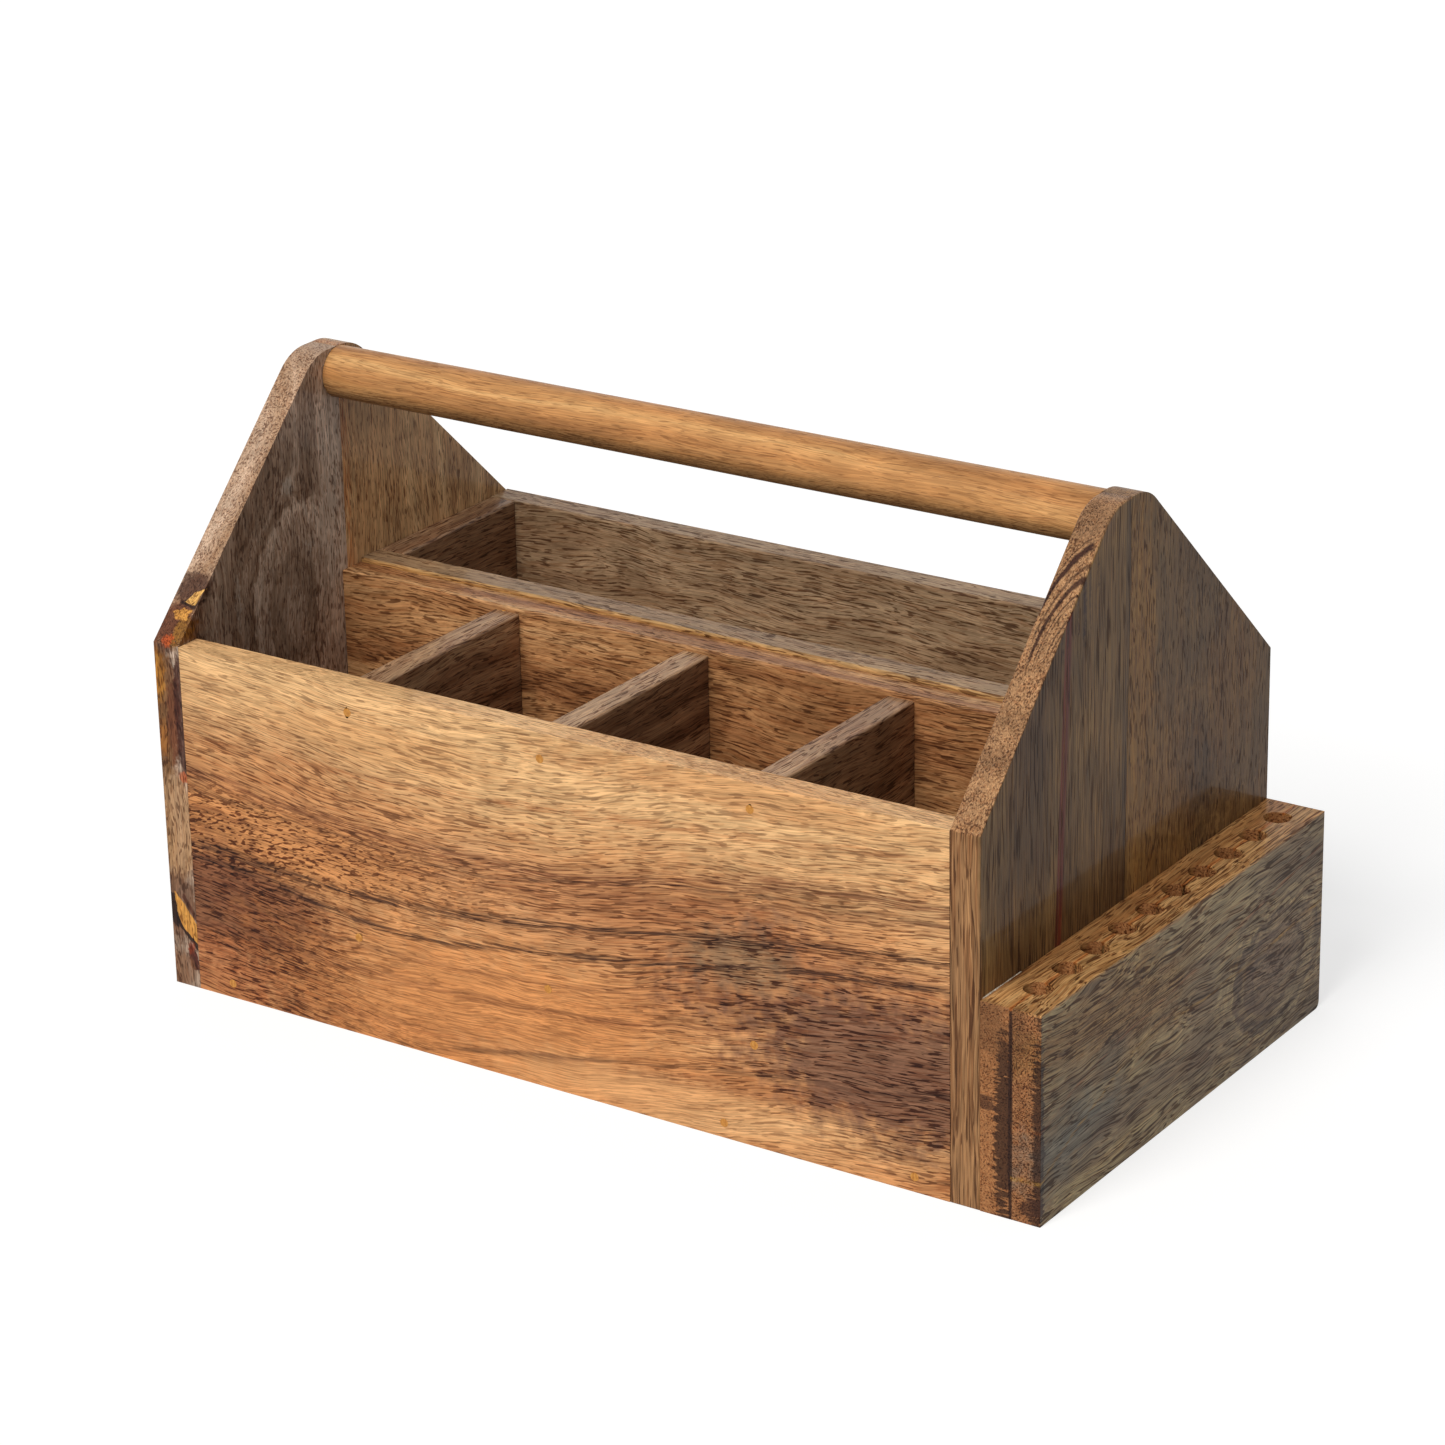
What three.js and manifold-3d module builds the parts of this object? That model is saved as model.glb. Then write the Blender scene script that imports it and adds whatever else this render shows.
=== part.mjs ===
// Tool storage caddy: an open hardwood tote with a dowel handle between two gables, four bays in front,
// a long trough behind and a drilled socket rail on the right-hand gable. Millimetres, +Z up.
// Bench coordinates run from the bottom front left corner: x to the right, y to the rear, z up.
import * as THREE from "three";
import { mergeVertices } from "three/addons/utils/BufferGeometryUtils.js";
import Module from "manifold-3d";

// ---- Driving dimensions ----

// Tote body
const caddyLength = 450; // outer face of one gable to outer face of the other
const caddyDepth = 260;
const shoulderHeight = 175; // where the gables' slopes start, and the top of the front board
const crownHeight = 287.5;
const crownCentre = 126.25; // from the front
const crownWidth = 30; // flat crown before its corners are rounded
const crownRadius = 25;
const boardThickness = 15;
const frontBoardThickness = 14;

// Bays and trough
const bayDepth = 109.5; // front to back inside the bays
const dividerThickness = 14.5;
const dividerSetOut = [-2.25, -2.5, 0.75]; // how far each divider stands off four equal bays
const dividerDrop = 2.5; // dividers stop short of the front board's top
const troughRise = 2; // the trough's walls stand proud of the middle board

// Glued-up gables: each seam is [y at the bottom, y at crown height]
const gableSeams = {
  left: [[128, 128]],
  right: [
    [60, 75],
    [123, 127.25],
  ],
};
const staveNames = {
  left: ["front", "rear"],
  right: ["front", "middle", "rear"],
};

// Handle
const handleDiameter = 25.5; // its top is flush with the crown
const handleCentre = 129; // from the front
const tenonDiameter = 16;
const tenonLength = 10;

// Socket rail: two boards face to face, drilled along their seam
const railHeight = 100;
const railBoardThickness = 15;
const socketHoleCount = 10;
const socketHoleDiameter = 12;
const socketHoleDepth = 25;
const socketHolePitch = 24.25;
const firstSocketHole = 23.5; // from the front

// Hidden dowels that join the long boards' ends to the gables
const dowelDiameter = 8;
const dowelLength = 30;
const dowelInGable = 10;
const dowelInset = 40; // from a board's edges to its dowels
const bottomDowelInset = 55;

// Brads through the front board, each set below the face and stopped with filler
const bradShankDiameter = 1.6;
const bradHeadDiameter = 2.2;
const bradHeadLength = 1;
const bradLength = 35;
const bradTipLength = 3;
const bradInset = 10; // from a divider's top to its upper brad
const lowerBradHeight = 50;
const bottomBrads = [35.5, 317.5, 417]; // from the left gable's outer face
const fillerDiameter = 3.5;
const fillerDepth = 2.75;

// Fits
const clearance = 0.3; // round pieces in their holes, and the ends of pins in blind holes
const grid = 1 / 64; // flat faces lie on this grid, so that touching faces agree exactly

// Flat sides that stand for each round shape
const handleSides = 48;
const handleSocketSides = 32;
const socketHoleSides = 24;
const dowelSides = 16;
const fillerSides = 16;
const bradSides = 12;
const crownCornerSteps = 8;
const weldDistance = 1e-4; // points closer than this are one

// ---- Derived places ----

const caddyWidth = caddyLength + 2 * railBoardThickness; // overall, with the socket rail
const innerLeft = boardThickness;
const innerRight = caddyLength - boardThickness;
const bayFront = frontBoardThickness;
const bayRear = bayFront + bayDepth;
const middleRear = bayRear + boardThickness;
const troughFront = middleRear + boardThickness;
const troughRear = caddyDepth - boardThickness;
const troughTop = shoulderHeight + troughRise;
const dividerTop = shoulderHeight - dividerDrop;
const floorTop = boardThickness;
const handleHeight = crownHeight - handleDiameter / 2;
const railSeam = caddyLength + railBoardThickness;
const railOuter = railSeam + railBoardThickness;
const frontBoardMiddle = frontBoardThickness / 2;
const backBoardMiddle = caddyDepth - boardThickness / 2;
const bottomBoardMiddle = boardThickness / 2;

// ---- Finishes ----

const finishes = {
  gable: { color: 0x7d674c, roughness: 0.3, metalness: 0 },
  frontBoard: { color: 0xc68a55, roughness: 0.3, metalness: 0 },
  innerBoard: { color: 0xa9774a, roughness: 0.35, metalness: 0 },
  handle: { color: 0xb98a55, roughness: 0.3, metalness: 0 },
  rail: { color: 0x8d7554, roughness: 0.32, metalness: 0 },
  dowel: { color: 0xd2b184, roughness: 0.7, metalness: 0 },
  brad: { color: 0x8b8d90, roughness: 0.4, metalness: 1 },
  filler: { color: 0xcd9141, roughness: 0.5, metalness: 0 },
};

// ---- Solids ----

const wasm = await Module();
wasm.setup();

const bodyAxes = new THREE.Matrix4().makeBasis(
  new THREE.Vector3(0, 1, 0),
  new THREE.Vector3(0, 0, 1),
  new THREE.Vector3(1, 0, 0),
); // turns an outline drawn in (y, z) and extruded along its normal to face along x

function snap(value) {
  return Math.round(value / grid) * grid;
}

function toSolid(geometry) {
  const plain = geometry.clone();
  plain.deleteAttribute("normal");
  plain.deleteAttribute("uv");
  const merged = mergeVertices(plain, weldDistance);
  return new wasm.Manifold(
    new wasm.Mesh({
      numProp: 3,
      vertProperties: merged.attributes.position.array,
      triVerts: new Uint32Array(merged.index.array),
    }),
  );
}

function toGeometry(solid) {
  const mesh = solid.getMesh();
  const geometry = new THREE.BufferGeometry();
  geometry.setAttribute("position", new THREE.BufferAttribute(mesh.vertProperties, 3));
  geometry.setIndex(new THREE.BufferAttribute(mesh.triVerts, 1));
  const faceted = geometry.toNonIndexed();
  faceted.computeVertexNormals();
  return faceted;
}

const pieces = new Map(); // each piece's mesh by its name
const bores = new Map(); // the cutters that are taken out of each named piece

function addPiece(name, geometry, finish) {
  const mesh = new THREE.Mesh(geometry, new THREE.MeshStandardMaterial(finishes[finish]));
  mesh.name = name;
  pieces.set(name, mesh);
  return mesh;
}

// A board between two opposite corners, placed by its low corner.
function addBoard(name, finish, low, high) {
  const from = low.map(snap);
  const size = high.map((value, axis) => snap(value) - from[axis]);
  const geometry = new THREE.BoxGeometry(...size);
  geometry.translate(...size.map((value) => value / 2));
  addPiece(name, geometry, finish).position.set(...from);
}

// A cutter along an axis, "x", "y" or "z", that starts at a point and is taken out of the named pieces.
function bore(names, axis, start, length, diameter, sides) {
  const geometry = new THREE.CylinderGeometry(diameter / 2, diameter / 2, length, sides);
  geometry.translate(0, length / 2, 0);
  if (axis === "x") geometry.rotateZ(-Math.PI / 2);
  if (axis === "z") geometry.rotateX(Math.PI / 2);
  geometry.translate(...start);
  for (const name of names) {
    if (!bores.has(name)) bores.set(name, []);
    bores.get(name).push(geometry);
  }
}

function cutBores() {
  for (const [name, cutters] of bores) {
    const mesh = pieces.get(name);
    mesh.updateMatrix();
    const toPiece = mesh.matrix.clone().invert();
    let solid = toSolid(mesh.geometry);
    for (const cutter of cutters) {
      const tool = toSolid(cutter.clone().applyMatrix4(toPiece));
      solid = solid.subtract(tool);
    }
    mesh.geometry = toGeometry(solid);
  }
}

// ---- Gables ----

// Outline of a whole gable in (y, z): straight sides, slopes from the shoulders and a crown with round ends.
function gableOutline() {
  const crownHalf = crownWidth / 2;
  const corners = [
    new THREE.Vector2(crownCentre + crownHalf, crownHeight),
    new THREE.Vector2(crownCentre - crownHalf, crownHeight),
  ];
  const shoulders = [
    new THREE.Vector2(caddyDepth, shoulderHeight),
    new THREE.Vector2(0, shoulderHeight),
  ];
  const outline = [new THREE.Vector2(0, 0), new THREE.Vector2(caddyDepth, 0), shoulders[0]];
  corners.forEach((corner, index) => {
    const before = index === 0 ? shoulders[0] : corners[0];
    const after = index === 0 ? corners[1] : shoulders[1];
    outline.push(...roundedCorner(before, corner, after, crownRadius));
  });
  outline.push(shoulders[1]);
  return outline;
}

// The points of an arc that rounds the corner between two straight edges.
function roundedCorner(before, corner, after, radius) {
  const back = before.clone().sub(corner).normalize();
  const onward = after.clone().sub(corner).normalize();
  const halfAngle = Math.acos(THREE.MathUtils.clamp(back.dot(onward), -1, 1)) / 2;
  const inward = back.clone().add(onward).normalize();
  const centre = corner.clone().addScaledVector(inward, radius / Math.sin(halfAngle));
  const start = corner.clone().addScaledVector(back, radius / Math.tan(halfAngle));
  const sweep = Math.PI - 2 * halfAngle;
  return Array.from({ length: crownCornerSteps + 1 }, (_, step) =>
    start.clone().rotateAround(centre, (sweep * step) / crownCornerSteps),
  );
}

function seamAtHeight(seam, height) {
  const [bottom, crown] = seam;
  return bottom + ((crown - bottom) * height) / crownHeight;
}

// The part of an outline on one side of a seam: side 1 keeps the rear, -1 keeps the front.
function clipToSeam(outline, seam, side) {
  const distance = (point) => side * (point.x - seamAtHeight(seam, point.y));
  const kept = [];
  outline.forEach((point, index) => {
    const next = outline[(index + 1) % outline.length];
    const here = distance(point);
    const there = distance(next);
    if (here >= 0) kept.push(point);
    if (here >= 0 !== there >= 0) {
      const crossing = point.clone().lerp(next, here / (here - there));
      kept.push(new THREE.Vector2(snap(crossing.x), snap(crossing.y)));
    }
  });
  return kept;
}

function addGable(side, innerX) {
  const seams = gableSeams[side];
  staveNames[side].forEach((stave, index) => {
    let outline = gableOutline();
    if (index > 0) outline = clipToSeam(outline, seams[index - 1], 1);
    if (index < seams.length) outline = clipToSeam(outline, seams[index], -1);
    const geometry = new THREE.ExtrudeGeometry(new THREE.Shape(outline), {
      depth: boardThickness,
      bevelEnabled: false,
    });
    const mesh = addPiece(`${side}_gable_${stave}_stave`, geometry, "gable");
    mesh.setRotationFromMatrix(bodyAxes);
    mesh.position.x = snap(innerX);
  });
}

addGable("left", 0);
addGable("right", innerRight);

// The staves of a gable that a bore between two y values reaches.
function stavesAt(side, low, high, height) {
  const edges = gableSeams[side].map((seam) => seamAtHeight(seam, height));
  const reached = staveNames[side].filter((_, index) => {
    const from = index === 0 ? 0 : edges[index - 1];
    const to = index === edges.length ? caddyDepth : edges[index];
    return high > from && low < to;
  });
  return reached.map((stave) => `${side}_gable_${stave}_stave`);
}

// ---- Long boards ----

// A board that runs from gable to gable: its front and rear y, then its bottom and top z.
function addLongBoard(name, finish, front, rear, bottom, top) {
  addBoard(name, finish, [innerLeft, front, bottom], [innerRight, rear, top]);
}

addLongBoard("front_board", "frontBoard", 0, bayFront, 0, shoulderHeight);
addLongBoard("back_board", "innerBoard", troughRear, caddyDepth, 0, troughTop);
addLongBoard("bottom_board", "innerBoard", bayFront, troughRear, 0, floorTop);
addLongBoard("middle_board", "innerBoard", bayRear, middleRear, floorTop, shoulderHeight);

// ---- Rear trough: its front wall and two end linings stand on the bottom board against the back board ----

addLongBoard("trough_front_wall", "innerBoard", middleRear, troughFront, floorTop, troughTop);
const troughEnds = { left: innerLeft, right: innerRight - boardThickness };
for (const [side, x] of Object.entries(troughEnds)) {
  const low = [x, troughFront, floorTop];
  addBoard(`trough_${side}_end`, "innerBoard", low, [x + boardThickness, troughRear, troughTop]);
}

// ---- Cross dividers ----

const dividersTogether = dividerSetOut.length * dividerThickness;
const evenBay = (innerRight - innerLeft - dividersTogether) / (dividerSetOut.length + 1);
const dividerCentres = dividerSetOut.map((setOut, index) => {
  const evenPlace = innerLeft + (index + 1) * evenBay + (index + 0.5) * dividerThickness;
  return evenPlace + setOut;
});
dividerCentres.forEach((centre, index) => {
  const low = [centre - dividerThickness / 2, bayFront, floorTop];
  const high = [centre + dividerThickness / 2, bayRear, dividerTop];
  addBoard(`cross_divider_${index + 1}`, "innerBoard", low, high);
});

// ---- Handle: a turned bar whose tenons sit in blind sockets in the gables ----

function addHandle() {
  const radius = handleDiameter / 2;
  const tenonRadius = tenonDiameter / 2;
  const span = innerRight - innerLeft;
  const profile = [
    [0, -tenonLength],
    [tenonRadius, -tenonLength],
    [tenonRadius, 0],
    [radius, 0],
    [radius, span],
    [tenonRadius, span],
    [tenonRadius, span + tenonLength],
    [0, span + tenonLength],
  ].map(([across, along]) => new THREE.Vector2(across, snap(along)));
  const mesh = addPiece("handle_bar", new THREE.LatheGeometry(profile, handleSides), "handle");
  mesh.rotation.z = -Math.PI / 2;
  mesh.position.set(snap(innerLeft), handleCentre, handleHeight);
  const depth = tenonLength + clearance;
  const starts = { left: innerLeft - depth, right: innerRight };
  for (const [side, start] of Object.entries(starts)) {
    const reach = tenonRadius + clearance;
    const staves = stavesAt(side, handleCentre - reach, handleCentre + reach, handleHeight);
    bore(staves, "x", [start, handleCentre, handleHeight], depth, 2 * reach, handleSocketSides);
  }
}

addHandle();

// ---- Socket rail ----

addBoard("socket_rail_inner_board", "rail", [caddyLength, 0, 0], [railSeam, caddyDepth, railHeight]);
addBoard("socket_rail_outer_board", "rail", [railSeam, 0, 0], [railOuter, caddyDepth, railHeight]);
const railBoards = ["socket_rail_inner_board", "socket_rail_outer_board"];
for (let hole = 0; hole < socketHoleCount; hole += 1) {
  const start = [railSeam, firstSocketHole + hole * socketHolePitch, railHeight - socketHoleDepth];
  bore(railBoards, "z", start, socketHoleDepth + clearance, socketHoleDiameter, socketHoleSides);
}

// ---- Dowels from the ends of the long boards into the gables ----

function addDowel(name, side, board, y, z) {
  const radius = dowelDiameter / 2;
  const inGable = side === "left" ? innerLeft - dowelInGable : innerRight + dowelInGable - dowelLength;
  const geometry = new THREE.CylinderGeometry(radius, radius, dowelLength, dowelSides);
  const mesh = addPiece(name, geometry, "dowel");
  mesh.rotation.z = -Math.PI / 2;
  mesh.position.set(inGable + dowelLength / 2, y, z);
  const reach = radius + clearance;
  const staves = stavesAt(side, y - reach, y + reach, z);
  const start = [inGable - clearance, y, z];
  bore([board, ...staves], "x", start, dowelLength + 2 * clearance, 2 * reach, dowelSides);
}

for (const side of ["left", "right"]) {
  const long = [
    ["front", "front_board", frontBoardMiddle, shoulderHeight],
    ["back", "back_board", backBoardMiddle, troughTop],
  ];
  for (const [place, board, y, top] of long) {
    addDowel(`dowel_${place}_${side}_lower`, side, board, y, dowelInset);
    addDowel(`dowel_${place}_${side}_upper`, side, board, y, top - dowelInset);
  }
  const bottomDowels = { front: bayFront + bottomDowelInset, rear: troughRear - bottomDowelInset };
  for (const [place, y] of Object.entries(bottomDowels)) {
    addDowel(`dowel_bottom_${side}_${place}`, side, "bottom_board", y, bottomBoardMiddle);
  }
}

// ---- Brads and their filler ----

function addBrad(name, behind, x, z) {
  const shank = bradShankDiameter / 2;
  const head = bradHeadDiameter / 2;
  const headFace = fillerDepth + clearance;
  const profile = [
    [0, 0],
    [head, 0],
    [head, bradHeadLength],
    [shank, bradHeadLength],
    [shank, bradLength - bradTipLength],
    [0, bradLength],
  ].map(([across, along]) => new THREE.Vector2(across, along));
  const brad = new THREE.LatheGeometry(profile, bradSides);
  addPiece(`brad_${name}`, brad, "brad").position.set(x, headFace, z);
  const fillerRadius = fillerDiameter / 2;
  const filler = new THREE.CylinderGeometry(fillerRadius, fillerRadius, fillerDepth, fillerSides);
  filler.translate(0, fillerDepth / 2, 0);
  addPiece(`filler_${name}`, filler, "filler").position.set(x, 0, z);
  // The board is bored for the filler, then for the head right through, and what lies behind for the shank.
  const outside = [x, -clearance, z];
  bore(["front_board"], "y", outside, headFace + clearance, fillerDiameter + 2 * clearance, fillerSides);
  bore(["front_board"], "y", [x, 0, z], bayFront + clearance, bradHeadDiameter + 2 * clearance, bradSides);
  const intoBehind = headFace + bradLength - bayFront + 2 * clearance;
  const joint = [x, bayFront - clearance, z];
  bore([behind], "y", joint, intoBehind, bradShankDiameter + 2 * clearance, bradSides);
}

const bradHeights = { upper: dividerTop - bradInset, lower: lowerBradHeight };
dividerCentres.forEach((centre, index) => {
  for (const [place, height] of Object.entries(bradHeights)) {
    addBrad(`divider_${index + 1}_${place}`, `cross_divider_${index + 1}`, centre, height);
  }
});
bottomBrads.forEach((x, index) => addBrad(`bottom_${index + 1}`, "bottom_board", x, bottomBoardMiddle));

// ---- Assembly: the origin is the bottom centre of the whole caddy ----

cutBores();
const bench = new THREE.Group();
bench.position.set(snap(-caddyWidth / 2), snap(-caddyDepth / 2), 0);
for (const mesh of pieces.values()) bench.add(mesh);

const caddy = new THREE.Group();
caddy.name = "tool_storage_caddy";
caddy.add(bench);

export default caddy;
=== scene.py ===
# %% [markdown]
# # A hardwood tool caddy
# The real object is a carpenter's tote: two end gables, boards between them, a round handle, and a rail of
# socket holes glued to one end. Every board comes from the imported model, which fixes its size and place.
# This lesson only dresses it: it eases the sharp arrises as sandpaper does, and paints each board's own figure.
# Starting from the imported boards, and not from new boxes, keeps every hidden dowel hole where it was drilled.

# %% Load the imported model
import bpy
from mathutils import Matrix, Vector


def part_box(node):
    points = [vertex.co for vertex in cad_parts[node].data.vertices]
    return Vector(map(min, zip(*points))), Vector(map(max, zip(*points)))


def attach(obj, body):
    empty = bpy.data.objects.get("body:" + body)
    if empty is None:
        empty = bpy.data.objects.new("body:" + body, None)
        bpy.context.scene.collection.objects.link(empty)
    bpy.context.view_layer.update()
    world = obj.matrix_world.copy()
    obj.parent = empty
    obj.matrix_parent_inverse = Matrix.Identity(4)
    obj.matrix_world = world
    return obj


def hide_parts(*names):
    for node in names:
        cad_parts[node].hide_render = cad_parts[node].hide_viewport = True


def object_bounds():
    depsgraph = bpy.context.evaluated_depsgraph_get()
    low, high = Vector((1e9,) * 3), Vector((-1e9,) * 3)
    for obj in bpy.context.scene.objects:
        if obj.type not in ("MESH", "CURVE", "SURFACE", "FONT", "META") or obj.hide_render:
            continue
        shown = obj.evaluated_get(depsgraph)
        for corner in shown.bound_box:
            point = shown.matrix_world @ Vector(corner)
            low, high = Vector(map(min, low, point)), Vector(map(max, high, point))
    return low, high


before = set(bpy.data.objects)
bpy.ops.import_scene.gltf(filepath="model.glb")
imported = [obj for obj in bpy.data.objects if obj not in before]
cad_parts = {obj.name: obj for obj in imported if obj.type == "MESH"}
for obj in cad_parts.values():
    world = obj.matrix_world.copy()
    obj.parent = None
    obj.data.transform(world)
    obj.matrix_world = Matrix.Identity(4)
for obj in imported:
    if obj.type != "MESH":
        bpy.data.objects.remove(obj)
cad_low, cad_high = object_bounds()
print("packed model from", tuple(cad_low), "to", tuple(cad_high))

# %% Units and the main sizes
import math

import bmesh
import bpy
from mathutils import Euler, Matrix, Vector, noise

MM = 0.001
scene = bpy.context.scene
scene.view_settings.view_transform = "Standard"

left_inner_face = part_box("left_gable_front_stave")[1].x
right_inner_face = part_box("right_gable_front_stave")[0].x
print("clear width between the gables:", round((right_inner_face - left_inner_face) / MM, 2), "mm")

# %% [markdown]
# ## The viewpoint
# The caddy is seen from the front right and above, through a long lens, so that its upright lines stay almost
# parallel. The camera is set by its place and three angles. A tracking constraint would also aim it, but plain
# angles can be read and changed one at a time.

# %% Camera
CAMERA_PLACE = (1.12701, -1.66331, 0.93824)
CAMERA_TILT = 68.309
CAMERA_ROLL = 1.125
CAMERA_TURN = 33.849
LENS = 115.85
SENSOR = 36.0

camera_data = bpy.data.cameras.new("camera")
camera_data.lens = LENS
camera_data.sensor_width = SENSOR
camera = bpy.data.objects.new("camera", camera_data)
camera.location = CAMERA_PLACE
camera.rotation_euler = Euler([math.radians(angle) for angle in (CAMERA_TILT, CAMERA_ROLL, CAMERA_TURN)])
scene.collection.objects.link(camera)
scene.camera = camera
print("camera", CAMERA_PLACE, "lens", LENS)

# %% [markdown]
# ## Writing shaders in code
# A shader is a graph of small nodes. Wiring them by hand takes three lines a node, so the recipe below gives each
# common step a short name: it adds one node, fills or links its inputs, and hands back the output. The same could
# be clicked together in the shader editor, but in code one wood can be reused for many boards.

# %% A recipe for shader graphs


def tone(red, green, blue):
    """A screen colour, 0 to 255, as the linear colour that shaders use."""
    linear = [c / 255 / 12.92 if c <= 10 else ((c / 255 + 0.055) / 1.055) ** 2.4 for c in (red, green, blue)]
    return (*linear, 1.0)


class Recipe:
    """One material under construction. Each method adds a node and returns its output socket."""

    def __init__(self, name):
        self.material = bpy.data.materials.new(name)
        self.material.use_nodes = True
        self.tree = self.material.node_tree
        self.tree.nodes.clear()

    def add(self, kind, inputs, output=0, **settings):
        node = self.tree.nodes.new("ShaderNode" + kind)
        for setting, value in settings.items():
            setattr(node, setting, value)
        for key, value in inputs.items():
            if isinstance(value, bpy.types.NodeSocket):
                self.tree.links.new(value, node.inputs[key])
            else:
                node.inputs[key].default_value = value
        return node.outputs[output]

    def math(self, operation, *values):
        return self.add("Math", dict(enumerate(values)), operation=operation)

    def vector(self, operation, *values, output=0):
        return self.add("VectorMath", dict(enumerate(values)), output=output, operation=operation)

    def combine(self, x, y, z):
        return self.add("CombineXYZ", {0: x, 1: y, 2: z})

    def noise(self, place, scale=1.0, detail=2.0, roughness=0.5, output=0):
        settings = {"Vector": place, "Scale": scale, "Detail": detail, "Roughness": roughness}
        return self.add("TexNoise", settings, output=output)

    def step(self, value, low, high, from_value=0.0, to_value=1.0):
        """A soft step: from_value below low, to_value above high."""
        inputs = {0: value, 1: low, 2: high, 3: from_value, 4: to_value}
        return self.add("MapRange", inputs, interpolation_type="SMOOTHSTEP")

    def blend(self, amount, under, over, blend_type="MIX"):
        return self.add("Mix", {0: amount, 6: under, 7: over}, output=2, data_type="RGBA", blend_type=blend_type)

    def ramp(self, value, stops):
        socket = self.add("ValToRGB", {0: value})
        elements = socket.node.color_ramp.elements
        while len(elements) < len(stops):
            elements.new(0.5)
        for element, (position, colour) in zip(elements, stops):
            element.position = position
            element.color = colour
        return socket

    def curve(self, value, points):
        """A drawn line: value goes in, height comes out, both between 0 and 1."""
        socket = self.add("FloatCurve", {1: value})
        mapping = socket.node.mapping
        line = mapping.curves[0].points
        line[0].location = points[0]
        line[1].location = points[-1]
        for point in points[1:-1]:
            line.new(*point)
        mapping.update()
        return socket

    def finish(self, shader):
        output = self.tree.nodes.new("ShaderNodeOutputMaterial")
        self.tree.links.new(shader, output.inputs["Surface"])
        print(f"{self.material.name}: {len(self.tree.nodes)} nodes")
        return self.material


# %% [markdown]
# ## Floor, backdrop and light
# The caddy stands in a white studio. A white floor lit by lamps is never quite white on screen, so the floor adds
# a little glow of its own, only for rays from the camera, off mirrors and through glass, and still takes the
# shadow. One large soft lamp stands high in front, which leaves the right-hand faces dimmer, and the even sky
# fills the rest.

# %% Floor
FLOOR_SIZE = 30.0
FLOOR_COLOUR = (0.45, 0.45, 0.45, 1.0)
FLOOR_GLOW = 0.66


def seen_directly(recipe):
    """1 for rays from the camera, off gloss or through glass, else 0."""
    path = recipe.tree.nodes.new("ShaderNodeLightPath")
    either = recipe.math("MAXIMUM", path.outputs["Is Camera Ray"], path.outputs["Is Glossy Ray"])
    return recipe.math("MAXIMUM", either, path.outputs["Is Transmission Ray"])


def floor_material():
    recipe = Recipe("studio_floor")
    paper = recipe.add("BsdfDiffuse", {"Color": FLOOR_COLOUR})
    glow = recipe.add("Emission", {"Strength": recipe.math("MULTIPLY", seen_directly(recipe), FLOOR_GLOW)})
    return recipe.finish(recipe.add("AddShader", {0: paper, 1: glow}))


floor_mesh = bpy.data.meshes.new("floor")
floor_shape = bmesh.new()
bmesh.ops.create_grid(floor_shape, x_segments=1, y_segments=1, size=FLOOR_SIZE / 2)
floor_shape.to_mesh(floor_mesh)
floor_shape.free()
floor_mesh.materials.append(floor_material())
floor = bpy.data.objects.new("floor", floor_mesh)
scene.collection.objects.link(floor)

# %% Sky
SKY_FILL = 0.30

world = bpy.data.worlds.new("studio")
scene.world = world
world.use_nodes = True
world_tree = world.node_tree
world_tree.nodes.clear()
path = world_tree.nodes.new("ShaderNodeLightPath")
seen = world_tree.nodes.new("ShaderNodeMath")
seen.operation = "MAXIMUM"
world_tree.links.new(path.outputs["Is Camera Ray"], seen.inputs[0])
world_tree.links.new(path.outputs["Is Glossy Ray"], seen.inputs[1])
seen_too = world_tree.nodes.new("ShaderNodeMath")
seen_too.operation = "MAXIMUM"
world_tree.links.new(seen.outputs[0], seen_too.inputs[0])
world_tree.links.new(path.outputs["Is Transmission Ray"], seen_too.inputs[1])
strength = world_tree.nodes.new("ShaderNodeMapRange")
strength.inputs["To Min"].default_value = SKY_FILL
strength.inputs["To Max"].default_value = 1.0
world_tree.links.new(seen_too.outputs[0], strength.inputs["Value"])
background = world_tree.nodes.new("ShaderNodeBackground")
background.inputs["Color"].default_value = (1.0, 1.0, 1.0, 1.0)
world_tree.links.new(strength.outputs[0], background.inputs["Strength"])
world_output = world_tree.nodes.new("ShaderNodeOutputWorld")
world_tree.links.new(background.outputs[0], world_output.inputs["Surface"])
print("sky fill", SKY_FILL)

# %% Lamp
LAMP_STRENGTH = 2.6
LAMP_SPREAD = 30.0
LAMP_FROM = Vector((-0.05, -1.0, 0.88))

lamp_data = bpy.data.lights.new("key_lamp", "SUN")
lamp_data.energy = LAMP_STRENGTH
lamp_data.angle = math.radians(LAMP_SPREAD)
lamp_data.color = (1.0, 0.985, 0.96)
lamp = bpy.data.objects.new("key_lamp", lamp_data)
lamp.rotation_euler = LAMP_FROM.to_track_quat("Z", "Y").to_euler()
scene.collection.objects.link(lamp)
print("lamp from", tuple(LAMP_FROM))

# %% [markdown]
# ## The wood
# The boards are a lacquered tropical hardwood, golden to smoky brown, with short dark pores that follow the grain.
# A flat picture would look wrong on the end grain, so the wood is a solid: its rings are tubes about a pith that
# lies off the board, its pores are threads along the grain, and each face simply cuts through them. What makes a
# board itself is drawn on top: patches, such as a smoky corner, and streaks that wander along it.
# All its places are bench places, in millimetres from the caddy's left front bottom corner: x runs to the right,
# y to the back and z up.

# %% Bench places
BENCH_CORNER = Vector((cad_low.x, cad_low.y, 0.0))
AXES = "xyz"


def bench(x, y, z):
    """A bench place, in millimetres, as a point of the model, in metres."""
    return BENCH_CORNER + Vector((x, y, z)) * MM


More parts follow.
